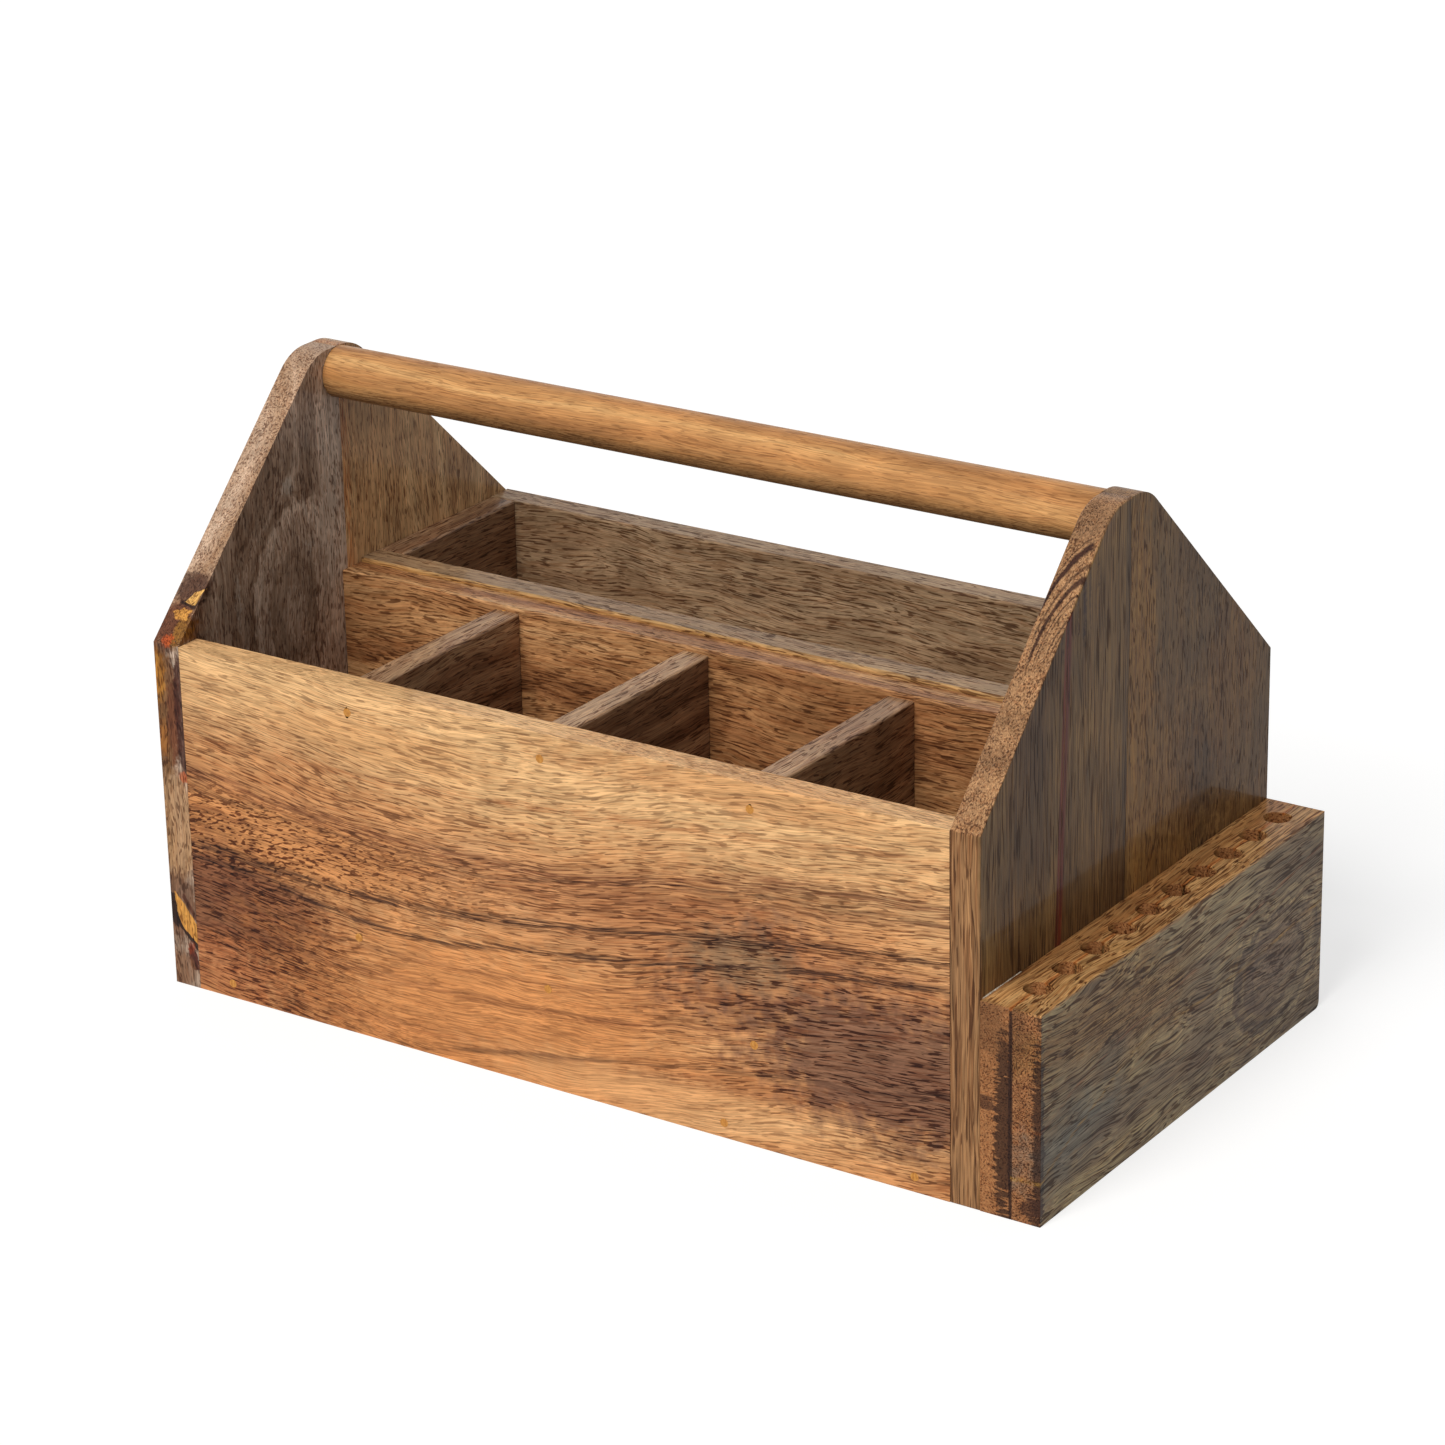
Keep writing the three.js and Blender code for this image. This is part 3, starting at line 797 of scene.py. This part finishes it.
left_slope_patches = [
    {"centre": (6, 6, 183), "radii": (11, 14, 15), "soft": 0.5, "rough": 0.8, "crumbs": 0.6,
     "colour": tone(98, 52, 32), "strength": 0.9},
    {"centre": (12, 5, 180), "radii": (3.6, 14, 8), "soft": 0.5, "rough": 0.8, "crumbs": 0.8,
     "colour": tone(142, 98, 40), "strength": 0.85},
    {"centre": (8, 18, 197), "radii": (10, 10, 7), "soft": 0.7, "rough": 1.2, "crumbs": 0.8,
     "colour": tone(72, 42, 32), "strength": 0.85},
    {"centre": (7, 1, 176.5), "radii": (3.0, 4, 3.0), "soft": 0.9, "rough": 0.8, "crumbs": 3.0,
     "colour": tone(198, 90, 40), "strength": 0.75},
    {"corners": [(4, 190.5), (14, 189), (15, 192), (9, 193)], "reach": 22, "soft": 0.3, "rough": 0.3,
     "crumbs": 0.4, "colour": BARK, "strength": 0.9},
    {"corners": [(7, 191), (13.6, 190.5), (14.6, 196.5), (11, 195.5)], "reach": 24, "soft": 0.16, "rough": 0.2,
     "crumbs": 0.5, "colour": tone(222, 172, 96), "strength": 0.95},
    {"corners": [(3.4, 187), (6, 184.5), (12.5, 185), (13.5, 188.6), (8, 188.8)], "reach": 22, "soft": 0.2,
     "rough": 0.3, "crumbs": 1.0, "colour": GOLD_FILLER, "strength": 0.9},
]
SCUFF = tone(196, 184, 170)
left_face_patches = [
    {"centre": (15, 85, 166), "radii": (12, 24, 40), "soft": 1.6, "rough": 0.6, "lift": 44,
     "colour": tone(120, 98, 78), "strength": 0.4},
    {"centre": (15, 86, 229), "radii": (3, 4, 4.0), "soft": 1.0, "rough": 0.8, "crumbs": 2.0,
     "colour": SCUFF, "strength": 0.7},
    {"centre": (15, 45, 184), "radii": (3, 2.0, 12), "soft": 0.9, "rough": 0.8, "crumbs": 2.4,
     "colour": SCUFF, "strength": 0.45},
    {"centre": (15, 100, 195), "radii": (3, 3, 3.0), "soft": 0.8, "rough": 0.8, "crumbs": 3.6,
     "colour": SCUFF, "strength": 0.45},
]
left_front_wood = lacquered_wood(
    "left_gable_front_wood", "z", "x", smoky_tones, pith=(60, -70), seed=11.3, ring=8, wander=6, contrast=1.5,
    pore=(4.5, 0.8), cover=0.6, pores=0.7, end=(SLOPE_TAN, 0.5),
    patches=[*left_face_patches, *left_edge_patches, *left_knot_patches, *left_slope_patches])
left_rear_wood = lacquered_wood(
    "left_gable_rear_wood", "z", "x", golden_tones, pith=(150, 80), seed=17.9, ring=7, wander=4,
    pore=(5.5, 0.75), cover=0.45, pores=0.7, end=(SLOPE_TAN, 0.4),
    streaks=[{"line": [(0, 131), (150, 130), (300, 131)], "width": 6, "colour": tone(176, 98, 44),
              "strength": 0.7}])

# %% Right gable woods
# Painted shade: the right gable's grey-brown is made darker here than the wood is, to stand in for the dimmer light
# on faces that look away from the lamp.
right_tones_with_painted_shade = [
    (0.10, tone(70, 45, 25)),
    (0.36, tone(100, 71, 40)),
    (0.60, tone(122, 91, 53)),
    (0.88, tone(144, 111, 68)),
]
crescents = {
    "pith": (453, 60), "squeeze": 2.0, "colour": tone(54, 26, 19),
    "bands": [(42.5, 0.5, 0.7), (39.0, 2.4, 0.95), (32.0, 1.3, 0.6), (27.5, 2.2, 0.9), (22.4, 0.6, 0.8),
              (20.0, 0.4, 0.6), (13.8, 1.1, 0.65), (10.2, 1.1, 0.8)],
    "patch": {"centre": (443, 75, 259), "radii": (9.5, 31, 42), "soft": 0.25, "rough": 0.5, "crumbs": 0.5},
}
slope_clouds = [
    {"centre": (443, 36, 215), "radii": (12, 7, 6), "soft": 1.0, "rough": 1.6, "crumbs": 0.8,
     "colour": tone(126, 92, 62), "strength": 0.55},
    {"centre": (443, 24, 202), "radii": (12, 6, 6), "soft": 1.0, "rough": 1.6, "crumbs": 0.8,
     "colour": tone(122, 88, 60), "strength": 0.5},
    {"centre": (443, 104, 284), "radii": (12, 10, 12), "soft": 0.9, "rough": 0.8,
     "colour": tone(126, 94, 68), "strength": 0.6},
]
right_front_wood = lacquered_wood(
    "right_gable_front_wood", "z", "x", right_tones_with_painted_shade, pith=(40, 700), seed=23.7, ring=6, wander=2,
    pore=(24, 0.75), cover=0.6, pores=0.8, fibre=0.3, bands=0.16, end=(SLOPE_TAN, 0.85), arcs=crescents,
    patches=[
        {"centre": (442, 0, 95), "radii": (9, 4, 130), "soft": 0.3, "rough": 0.5,
         "colour": tone(166, 122, 82), "strength": 0.8},
        *slope_clouds,
    ],
    streaks=[{"line": [(0, 59.2), (150, 66.6), (300, 74.8)], "width": 2.0, "wobble": 0.4, "colour": SEAM_RED,
              "strength": 0.95, "solid": True}])
right_middle_wood = lacquered_wood(
    "right_gable_middle_wood", "z", "x", right_tones_with_painted_shade, pith=(95, 820), seed=29.3, ring=6, wander=2,
    pore=(24, 0.75), cover=0.6, pores=0.8, fibre=0.3, bands=0.16, end=(SLOPE_TAN, 0.85), arcs=crescents,
    patches=slope_clouds,
    streaks=[{"line": [(0, 61.4), (150, 69), (300, 77)], "width": 3.4, "wobble": 0.4, "colour": SEAM_RED,
              "strength": 0.95, "solid": True},
             {"line": [(0, 121), (150, 123.5), (300, 126)], "width": 4, "wobble": 1.0,
              "colour": tone(70, 48, 34), "strength": 0.8}])
right_rear_wood = lacquered_wood(
    "right_gable_rear_wood", "z", "x", right_tones_with_painted_shade, pith=(190, 820), seed=37.1, ring=7, wander=4,
    pore=(7, 0.85), cover=0.55, pores=0.75, bands=0.16, end=(SLOPE_TAN, 0.4),
    patches=[
        {"centre": (450, 136, 210), "radii": (30, 14, 90), "soft": 1.2, "rough": 1.8,
         "colour": tone(156, 110, 50), "strength": 0.6},
        {"centre": (450, 160, 120), "radii": (30, 22, 60), "soft": 1.2, "rough": 1.8,
         "colour": tone(146, 104, 54), "strength": 0.55},
        {"centre": (450, 218, 172), "radii": (30, 22, 34), "soft": 1.2, "rough": 2.0,
         "colour": tone(120, 80, 32), "strength": 0.65},
        {"centre": (450, 190, 140), "radii": (30, 26, 26), "soft": 1.2, "rough": 2.2, "lift": 16},
    ])

# %% Gable staves
gable_staves = [
    ("left_gable_front_stave", left_front_wood, ("+y",), 2.0),
    ("left_gable_rear_stave", left_rear_wood, ("-y",), 3.0),
    ("right_gable_front_stave", right_front_wood, ("+y",), 4.0),
    ("right_gable_middle_stave", right_middle_wood, ("-y", "+y"), 5.0),
    ("right_gable_rear_stave", right_rear_wood, ("-y",), 6.0),
]
for node, wood, glued, seed in gable_staves:
    eased_board(node, wood, glued=glued, seed=seed, glued_share=0.12)

# %% [markdown]
# ## Inner boards
# The middle board, the trough and the back board run from gable to gable, and short dividers split the front bays.
# They share one family of figures. Each has its own seed and pith, because no two boards of a tree look alike.

# %% Long inner boards
amber_tones = [
    (0.10, tone(118, 74, 46)),
    (0.36, tone(160, 110, 70)),
    (0.60, tone(184, 134, 88)),
    (0.88, tone(206, 160, 112)),
]
sandy_tones = [
    (0.10, tone(124, 92, 68)),
    (0.36, tone(162, 130, 98)),
    (0.60, tone(184, 154, 120)),
    (0.88, tone(204, 174, 140)),
]
ash_tones = [
    (0.10, tone(98, 68, 50)),
    (0.36, tone(140, 104, 76)),
    (0.60, tone(166, 130, 98)),
    (0.88, tone(188, 152, 116)),
]
# Painted light on the trough's front wall, not its wood: a grey reflection over its top and a gold highlight along
# its lip.
trough_painted_light_patches = [
    # Painted reflection: grey over the top face, where the pale backdrop is mirrored.
    {"centre": (225, 146, 178), "radii": (600, 30, 2.2), "soft": 0.6, "rough": 0.2,
     "colour": tone(150, 132, 104), "strength": 0.6},
    # Painted highlight: a gold line along the lip that stands above the middle board.
    {"centre": (225, 138, 176), "radii": (600, 1.6, 1.6), "soft": 0.5, "rough": 0.2,
     "colour": tone(196, 150, 86), "strength": 0.5},
]
long_boards = [
    ("middle_board", amber_tones, (60, -60), 41.3, 0.2, ()),
    ("trough_front_wall", amber_tones, (120, 260), 43.9, 0.1, trough_painted_light_patches),
    ("back_board", sandy_tones, (90, 420), 47.1, 0.15, ()),
    ("bottom_board", amber_tones, (120, -80), 53.3, 0.0, ()),
]
for node, tones, pith, seed, flecks, patches in long_boards:
    face = "z" if node == "bottom_board" else "y"
    glued = ("-x", "+x", "-y", "+y") if node == "bottom_board" else ("-x", "+x")
    wood = lacquered_wood(node + "_wood", "x", face, tones, pith=pith, seed=seed, ring=8, cover=0.55,
                          flecks=flecks, patches=patches)
    eased_board(node, wood, glued=glued, seed=seed)

# %% Dividers and trough ends
short_boards = [(f"cross_divider_{index}", (80, 60 + 90 * index)) for index in (1, 2, 3)]
short_boards += [("trough_left_end", (150, -90)), ("trough_right_end", (150, -140))]
for index, (node, pith) in enumerate(short_boards):
    wood = lacquered_wood(node + "_wood", "y", "x", ash_tones, pith=pith, seed=60.3 + index, ring=8)
    eased_board(node, wood, glued=("-y", "+y", "-z"), seed=9.0 + index)

# %% [markdown]
# ## Handle
# A turned bar of golden brown wood with a smaller tenon at each end, hidden in the gables. It starts as a
# cylinder whose end caps are inset and drawn out into the tenons. A little waviness along the bar, as a hand
# scraper leaves it, keeps its highlight from being a ruled line. Its underside is greyer and mottled.

# %% Handle wood
handle_wood = lacquered_wood(
    "handle_bar_wood", "x", "y",
    [(0.10, tone(150, 98, 56)), (0.36, tone(186, 130, 78)), (0.60, tone(204, 150, 94)), (0.88, tone(220, 174, 116))],
    pith=(262, 90), seed=71.7, ring=6, wander=3, contrast=0.7, pore=(8, 0.6), cover=0.4, pores=0.4, fibre=0.18, bands=0.06,
    fleck=(3.4, 1.0), patches=[
        {"centre": (225, 129, 262), "radii": (900, 60, 9), "soft": 0.8, "rough": 0.5,
         "colour": tone(136, 108, 74), "strength": 0.6, "pores": 0.2, "flecks": 0.4},
    ])

# %% Handle bar
HANDLE_SIDES = 72
TENON_RADIUS = 8 * MM
handle_low, handle_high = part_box("handle_bar")
handle_radius = (handle_high.z - handle_low.z) / 2
handle_centre = (handle_low + handle_high) / 2
bar_length = right_inner_face - left_inner_face
tenon_length = (handle_high.x - handle_low.x - bar_length) / 2


def draw_out(shape, caps, inset, length):
    """Insets round end caps, then draws them out into pins."""
    bmesh.ops.inset_region(shape, faces=caps, thickness=inset, use_even_offset=True)
    for cap in caps:
        outward = cap.normal.copy()
        drawn = bmesh.ops.extrude_face_region(shape, geom=[cap])
        moved = [item for item in drawn["geom"] if isinstance(item, bmesh.types.BMVert)]
        bmesh.ops.translate(shape, verts=moved, vec=outward * length)
    bmesh.ops.delete(shape, geom=caps, context="FACES_ONLY")


bar = bmesh.new()
bmesh.ops.create_cone(bar, cap_ends=True, segments=HANDLE_SIDES, radius1=handle_radius, radius2=handle_radius,
                      depth=bar_length)
draw_out(bar, [face for face in bar.faces if len(face.verts) > 4], handle_radius - TENON_RADIUS, tenon_length)
turn = Matrix.Translation(handle_centre) @ Matrix.Rotation(math.radians(90), 4, "Y")
bmesh.ops.transform(bar, matrix=turn, verts=bar.verts)
cut_into_cells(bar, 10 * MM)
press_in(bar, depth=0.25 * MM, size=60 * MM, seed=5.5)
bmesh.ops.recalc_face_normals(bar, faces=bar.faces)
handle = finish_piece("handle_bar_turned", bar, handle_wood, ["handle_bar"])
print("handle", round(bar_length / MM, 1), "mm long, tenons", round(tenon_length / MM, 1))

# %% [markdown]
# ## Socket rail
# Two boards glued face to face and drilled along their seam. The drill tore the wood at each hole's mouth, so the
# mouth's points are pushed away from the hole by uneven amounts, which a plain bevel can't do. The outer board's
# rear bottom edge has been knocked round. Its end grain is tan, with dark bands whose edges have teeth.

# %% Rail wood
rail_tones = [
    (0.10, tone(96, 76, 56)),
    (0.36, tone(134, 112, 84)),
    (0.60, tone(160, 138, 104)),
    (0.88, tone(184, 160, 116)),
]
bright_rail_tones = [
    (0.10, tone(122, 76, 44)),
    (0.36, tone(166, 114, 66)),
    (0.60, tone(192, 142, 88)),
    (0.88, tone(210, 166, 110)),
]
END_BROWN = tone(166, 112, 70)
END_DARK = tone(50, 28, 20)
SLATE = tone(112, 112, 104)
OCHRE = tone(156, 116, 62)
rail_low, rail_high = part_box("socket_rail_outer_board")
seam_patches = [
    {"centre": (465, 0, 50), "radii": (1.1, 3, 70), "soft": 0.5, "rough": 0.6, "crumbs": 0.6,
     "colour": END_DARK, "strength": 0.9},
    {"centre": (465, 130, 100), "radii": (0.9, 400, 1.4), "soft": 0.5, "rough": 0.4, "crumbs": 1.0,
     "colour": tone(196, 112, 50), "strength": 0.6},
]
outer_rail_patches = [
    {"centre": (472, 130, 101), "radii": (40, 400, 2.3), "soft": 0.5, "rough": 0.4, "crumbs": 0.6,
     "colour": tone(198, 148, 92), "strength": 0.75},
    {"centre": (480, 216, 40), "radii": (30, 36, 24), "soft": 1.6, "rough": 0.6, "lift": 60, "flecks": 0.45},
    {"centre": (480, 212, 42), "radii": (30, 30, 20), "soft": 0.9, "rough": 0.8,
     "colour": tone(132, 104, 84), "strength": 0.6},
    {"centre": (480, 40, 80), "radii": (30, 60, 16), "soft": 1.2, "rough": 1.8,
     "colour": OCHRE, "strength": 0.6, "flecks": 0.2},
    {"centre": (480, 95, 66), "radii": (30, 40, 20), "soft": 1.2, "rough": 1.8,
     "colour": OCHRE, "strength": 0.6, "flecks": 0.5},
    {"centre": (480, 62, 58), "radii": (30, 14, 8), "soft": 1.0, "rough": 1.4,
     "colour": SLATE, "strength": 0.3},
    {"centre": (480, 26, 32), "radii": (30, 44, 16), "soft": 1.2, "rough": 2.2,
     "colour": SLATE, "strength": 0.7},
    {"centre": (480, 110, 24), "radii": (30, 90, 10), "soft": 1.2, "rough": 2.2,
     "colour": tone(126, 100, 76), "strength": 0.5},
    {"centre": (479.6, 0, 40), "radii": (4.4, 3, 60), "soft": 0.4, "rough": 1.0, "teeth": 2.4,
     "colour": END_DARK, "strength": 0.85},
    {"centre": (480, 0, 8), "radii": (9, 3, 4.5), "soft": 0.3, "rough": 1.0, "teeth": 2.0,
     "colour": tone(70, 42, 30), "strength": 0.8},
    {"centre": (468, 0, 90), "radii": (7, 3, 16), "soft": 0.9, "rough": 1.2, "teeth": 1.0,
     "colour": tone(104, 70, 44), "strength": 0.6},
]
rail_streaks = [
    {"line": [(0, 20), (50, 40), (100, 52), (150, 50), (260, 56)], "width": 1.6,
     "colour": tone(176, 132, 56), "strength": 0.7},
    {"line": [(0, 44), (60, 60), (120, 66), (260, 84)], "width": 1.4,
     "colour": tone(156, 92, 50), "strength": 0.6},
]
outer_rail_wood = lacquered_wood(
    "socket_rail_outer_wood", "y", "x", rail_tones, pith=(50, 900), seed=83.9, ring=8, wander=6, contrast=1.5,
    pore=(18, 0.8), cover=0.75, pores=0.9, fibre=0.36, bands=0.18, fleck=(2.6, 1.0), end=(END_BROWN, 0.9),
    patches=[*outer_rail_patches, *seam_patches], streaks=rail_streaks)
inner_rail_patches = [
    {"centre": (462.0, 0, 40), "radii": (4.4, 3, 54), "soft": 0.3, "rough": 1.0, "teeth": 3.0,
     "colour": END_DARK, "strength": 0.85},
    {"centre": (452, 0, 53), "radii": (6, 3, 3.2), "soft": 0.3, "rough": 0.8, "teeth": 2.4,
     "colour": tone(70, 42, 30), "strength": 0.75},
    {"centre": (455, 0, 90), "radii": (11, 3, 14), "soft": 0.9, "rough": 1.2, "teeth": 1.0,
     "colour": tone(104, 70, 44), "strength": 0.6},
]
inner_rail_wood = lacquered_wood(
    "socket_rail_inner_wood", "y", "x", bright_rail_tones, pith=(50, 900), seed=89.3, ring=8, pore=(10, 0.8),
    cover=0.6, end=(END_BROWN, 0.9), patches=[*inner_rail_patches, *seam_patches])

# %% Rail boards
HOLE_COUNT = 10
FIRST_HOLE = 23.5
HOLE_PITCH = 24.25
HOLE_RADIUS = 6.0
RAIL_SEAM = 465.0
KNOCKED_RADIUS = 3.5 * MM
hole_centres = [bench(RAIL_SEAM, FIRST_HOLE + HOLE_PITCH * index, 0.0) for index in range(HOLE_COUNT)]


def knock_rear_edge(shape):
    """Rounds the rear bottom edge of the outer board."""
    edge = [edge for edge in shape.edges
            if all(rail_high.y - vert.co.y < 1e-5 and vert.co.z - rail_low.z < 1e-5 for vert in edge.verts)]
    bmesh.ops.bevel(shape, geom=edge, offset=KNOCKED_RADIUS, affect="EDGES", segments=4, profile=0.5, material=-1)
    print("knocked edges", len(edge))


def tear_mouths(shape):
    """Pushes the mouths of the holes in a rail board outward by uneven amounts, and eases them."""
    weights = shape.edges.layers.float["bevel_weight_edge"]
    mouth = set()
    for vert in shape.verts:
        if rail_high.z - vert.co.z > 0.6 * MM:
            continue
        for centre in hole_centres:
            away = Vector((vert.co.x - centre.x, vert.co.y - centre.y, 0.0))
            if abs(away.length - HOLE_RADIUS * MM) < 0.3 * MM:
                tear = 0.5 + 0.5 * noise.noise(vert.co / (2.4 * MM))
                vert.co += away.normalized() * 1.1 * MM * tear
                mouth.add(vert)
    for edge in shape.edges:
        if set(edge.verts) <= mouth and edge.calc_face_angle(0.0) > CORNER_LIMIT:
            edge[weights] = max(edge[weights], 0.45)
    print("mouth points", len(mouth))


eased_board("socket_rail_outer_board", outer_rail_wood, glued=("-x",), seed=14.0, glued_share=0.2,
            before=knock_rear_edge, after=tear_mouths)
eased_board("socket_rail_inner_board", inner_rail_wood, glued=("-x", "+x"), seed=15.0,
            glued_share=0.2, after=tear_mouths)

# %% [markdown]
# ## Filler
# Each brad in the front board is sunk, and its hole is stopped with gold-orange filler that a thumb has smeared
# over the wood. A smear is a short cylinder, thin as a film, whose back is inset and drawn out into the plug in the
# hole. Its rim is pushed in and out by noise, and some smears are drawn out like drops, because the putty ran.

# %% Filler material


def filler_material():
    recipe = Recipe("gold_wood_filler")
    place = bench_coordinates(recipe)
    lumps = recipe.noise(recipe.vector("MULTIPLY", place, (1 / 1.1, 1 / 1.1, 1 / 2.2)), detail=3.0)
    dust = recipe.noise(recipe.vector("MULTIPLY", place, (1 / 0.3, 1 / 0.3, 1 / 0.3)), detail=2.0)
    colour = recipe.ramp(lumps, [(0.3, tone(172, 108, 44)), (0.55, tone(206, 142, 64)), (0.8, tone(222, 166, 92))])
    shade = recipe.step(dust, 0.3, 0.7, 0.86, 1.08)
    colour = recipe.blend(1.0, colour, recipe.combine(shade, shade, shade), "MULTIPLY")
    height = recipe.math("MULTIPLY_ADD", dust, 0.3, lumps)
    normal = recipe.add("Bump", {"Strength": 0.5, "Distance": 0.2 * MM, "Height": height})
    roughness = recipe.step(lumps, 0.3, 0.7, 0.36, 0.5)
    return recipe.finish(recipe.add("BsdfPrincipled", {
        "Base Color": colour, "Roughness": roughness, "Normal": normal, "Specular IOR Level": 0.3}))


# %% Filler smears
FILM = 0.4 * MM
FILM_SIDES = 32
RIM_WOBBLE = 0.55 * MM
smears = {
    "filler_divider_1_upper": (3.6, 8.4), "filler_divider_2_upper": (3.8, 4.2), "filler_divider_3_upper": (3.4, 7.2),
    "filler_divider_1_lower": (4.0, 4.6), "filler_divider_2_lower": (4.4, 3.8), "filler_divider_3_lower": (3.8, 4.6),
    "filler_bottom_1": (4.4, 4.0), "filler_bottom_2": (4.0, 3.8), "filler_bottom_3": (3.9, 4.4),
}
gold_filler = filler_material()


def filler_smear(node, width, height):
    low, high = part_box(node)
    centre = (low + high) / 2
    plug_radius = (high.x - low.x) / 2
    rim_radius = plug_radius + 0.3 * MM
    shape = bmesh.new()
    bmesh.ops.create_cone(shape, cap_ends=True, segments=FILM_SIDES, radius1=rim_radius, radius2=rim_radius,
                          depth=FILM)
    caps = [face for face in shape.faces if len(face.verts) > 4]
    front = max(caps, key=lambda face: face.calc_center_median().z)
    back = min(caps, key=lambda face: face.calc_center_median().z)
    rim = set(shape.verts)
    bmesh.ops.inset_region(shape, faces=[front], thickness=rim_radius * 0.35, use_even_offset=True)
    draw_out(shape, [back], rim_radius - plug_radius, high.y - low.y - FILM)
    stand = Matrix.Translation((centre.x, low.y + FILM / 2, centre.z)) @ Matrix.Rotation(math.radians(90), 4, "X")
    bmesh.ops.transform(shape, matrix=stand, verts=shape.verts)
    for vert in shape.verts:
        away = Vector((vert.co.x - centre.x, 0.0, vert.co.z - centre.z))
        if vert in rim:
            wave = noise.noise(vert.co / (2.0 * MM))
            stretch = Vector((away.x * (width * MM / 2 / rim_radius - 1), 0.0,
                              away.z * (height * MM / 2 / rim_radius - 1)))
            vert.co += stretch + away.normalized() * RIM_WOBBLE * wave
    bmesh.ops.recalc_face_normals(shape, faces=shape.faces)
    return finish_piece(node + "_smear", shape, gold_filler, [node])


for node, (width, height) in smears.items():
    filler_smear(node, width, height)
print(len(smears), "filler smears")

# %% [markdown]
# ## Glue
# Squeezed-out glue was never cleaned away in three places: a whitish bead in the corner where the rail meets the
# gable, an amber bead on the middle board above the first divider, and a smaller one by the second. A bead is a
# small sphere, flattened and pulled about by noise, or a thin rod along the corner that swells and shrinks.

# %% Glue material


def glue_material(name, thin, thick):
    recipe = Recipe(name)
    place = bench_coordinates(recipe)
    cloud = recipe.noise(recipe.vector("MULTIPLY", place, (1 / 1.5, 1 / 1.5, 1 / 1.5)), detail=3.0)
    colour = recipe.ramp(cloud, [(0.35, thin), (0.65, thick)])
    normal = recipe.add("Bump", {"Strength": 0.3, "Distance": 0.2 * MM, "Height": cloud})
    roughness = recipe.step(cloud, 0.3, 0.7, 0.18, 0.3)
    return recipe.finish(recipe.add("BsdfPrincipled", {"Base Color": colour, "Roughness": roughness,
                                                        "Normal": normal, "Coat Weight": 0.3}))


pale_glue = glue_material("pale_glue", tone(176, 150, 118), tone(232, 222, 204))
amber_glue = glue_material("amber_glue", tone(196, 124, 40), tone(236, 176, 76))

# %% Glue beads
CORNER_BEAD_RADIUS = 0.55 * MM


def corner_bead(name, start, end, radius, material):
    """A rod of glue along a corner, thicker in some places than in others."""
    shape = bmesh.new()
    length = (end - start).length
    bmesh.ops.create_cone(shape, cap_ends=True, segments=10, radius1=radius, radius2=radius * 0.4, depth=length)
    turn = (end - start).to_track_quat("Z", "Y").to_matrix().to_4x4()
    bmesh.ops.transform(shape, matrix=Matrix.Translation((start + end) / 2) @ turn, verts=shape.verts)
    cut_into_cells(shape, 0.8 * MM)
    axis = (end - start).normalized()
    for vert in shape.verts:
        foot = start + axis * axis.dot(vert.co - start)
        swell = 0.75 + 0.6 * noise.noise(foot / (3.0 * MM))
        vert.co = foot + (vert.co - foot) * swell
    bmesh.ops.recalc_face_normals(shape, faces=shape.faces)
    return finish_piece(name, shape, material)


def glue_drop(name, centre, size, material):
    """A drop that has set on an upright face."""
    shape = bmesh.new()
    bmesh.ops.create_icosphere(shape, subdivisions=3, radius=1.0)
    for vert in shape.verts:
        wave = 1.0 + 0.35 * noise.noise(vert.co * 1.6 + centre * 100)
        vert.co = Vector(centre) + Vector([vert.co[axis] * size[axis] * wave * MM for axis in range(3)])
    return finish_piece(name, shape, material)


rail_top = rail_high.z
corner_bead("rail_corner_glue", bench(450.1, 2.0, 100.1), bench(450.1, 34.0, 100.1), CORNER_BEAD_RADIUS,
            pale_glue)
glue_drop("divider_1_glue", bench(112.5, 123.2, 170.5), (2.6, 0.9, 2.2), amber_glue)
glue_drop("divider_2_glue", bench(226.5, 123.3, 160.0), (1.4, 0.6, 3.0), amber_glue)
print("glue on the rail up to", round(rail_top / MM, 1), "mm")

# %% [markdown]
# ## Dowels and brads
# The dowels and brads are hidden in the joints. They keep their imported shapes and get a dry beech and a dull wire
# steel, so that the caddy also looks right when it is taken apart.

# %% Dowel and brad materials


def dowel_material():
    recipe = Recipe("dowel_beech")
    place = bench_coordinates(recipe)
    fibres = recipe.noise(recipe.vector("MULTIPLY", place, (1 / 12, 1 / 0.6, 1 / 0.6)), detail=3.0)
    colour = recipe.ramp(fibres, [(0.3, tone(178, 136, 92)), (0.7, tone(222, 186, 138))])
    normal = recipe.add("Bump", {"Strength": 0.4, "Distance": 0.1 * MM, "Height": fibres})
    roughness = recipe.step(fibres, 0.3, 0.7, 0.75, 0.6)
    return recipe.finish(recipe.add("BsdfPrincipled", {"Base Color": colour, "Roughness": roughness,
                                                        "Normal": normal}))


def brad_material():
    recipe = Recipe("brad_wire_steel")
    place = bench_coordinates(recipe)
    drawn = recipe.noise(recipe.vector("MULTIPLY", place, (1 / 0.2, 1 / 6, 1 / 0.2)), detail=2.0)
    colour = recipe.ramp(drawn, [(0.3, tone(128, 128, 130)), (0.7, tone(178, 178, 182))])
    roughness = recipe.step(drawn, 0.3, 0.7, 0.48, 0.32)
    normal = recipe.add("Bump", {"Strength": 0.3, "Distance": 0.05 * MM, "Height": drawn})
    return recipe.finish(recipe.add("BsdfPrincipled", {"Base Color": colour, "Roughness": roughness,
                                                        "Metallic": 1.0, "Normal": normal}))


def repaint(nodes, material):
    for node in nodes:
        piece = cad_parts[node]
        piece.data.materials.clear()
        piece.data.materials.append(material)


dowel_nodes = [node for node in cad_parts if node.startswith("dowel_")]
brad_nodes = [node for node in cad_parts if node.startswith("brad_")]
repaint(dowel_nodes, dowel_material())
repaint(brad_nodes, brad_material())
print(len(dowel_nodes), "dowels,", len(brad_nodes), "brads")
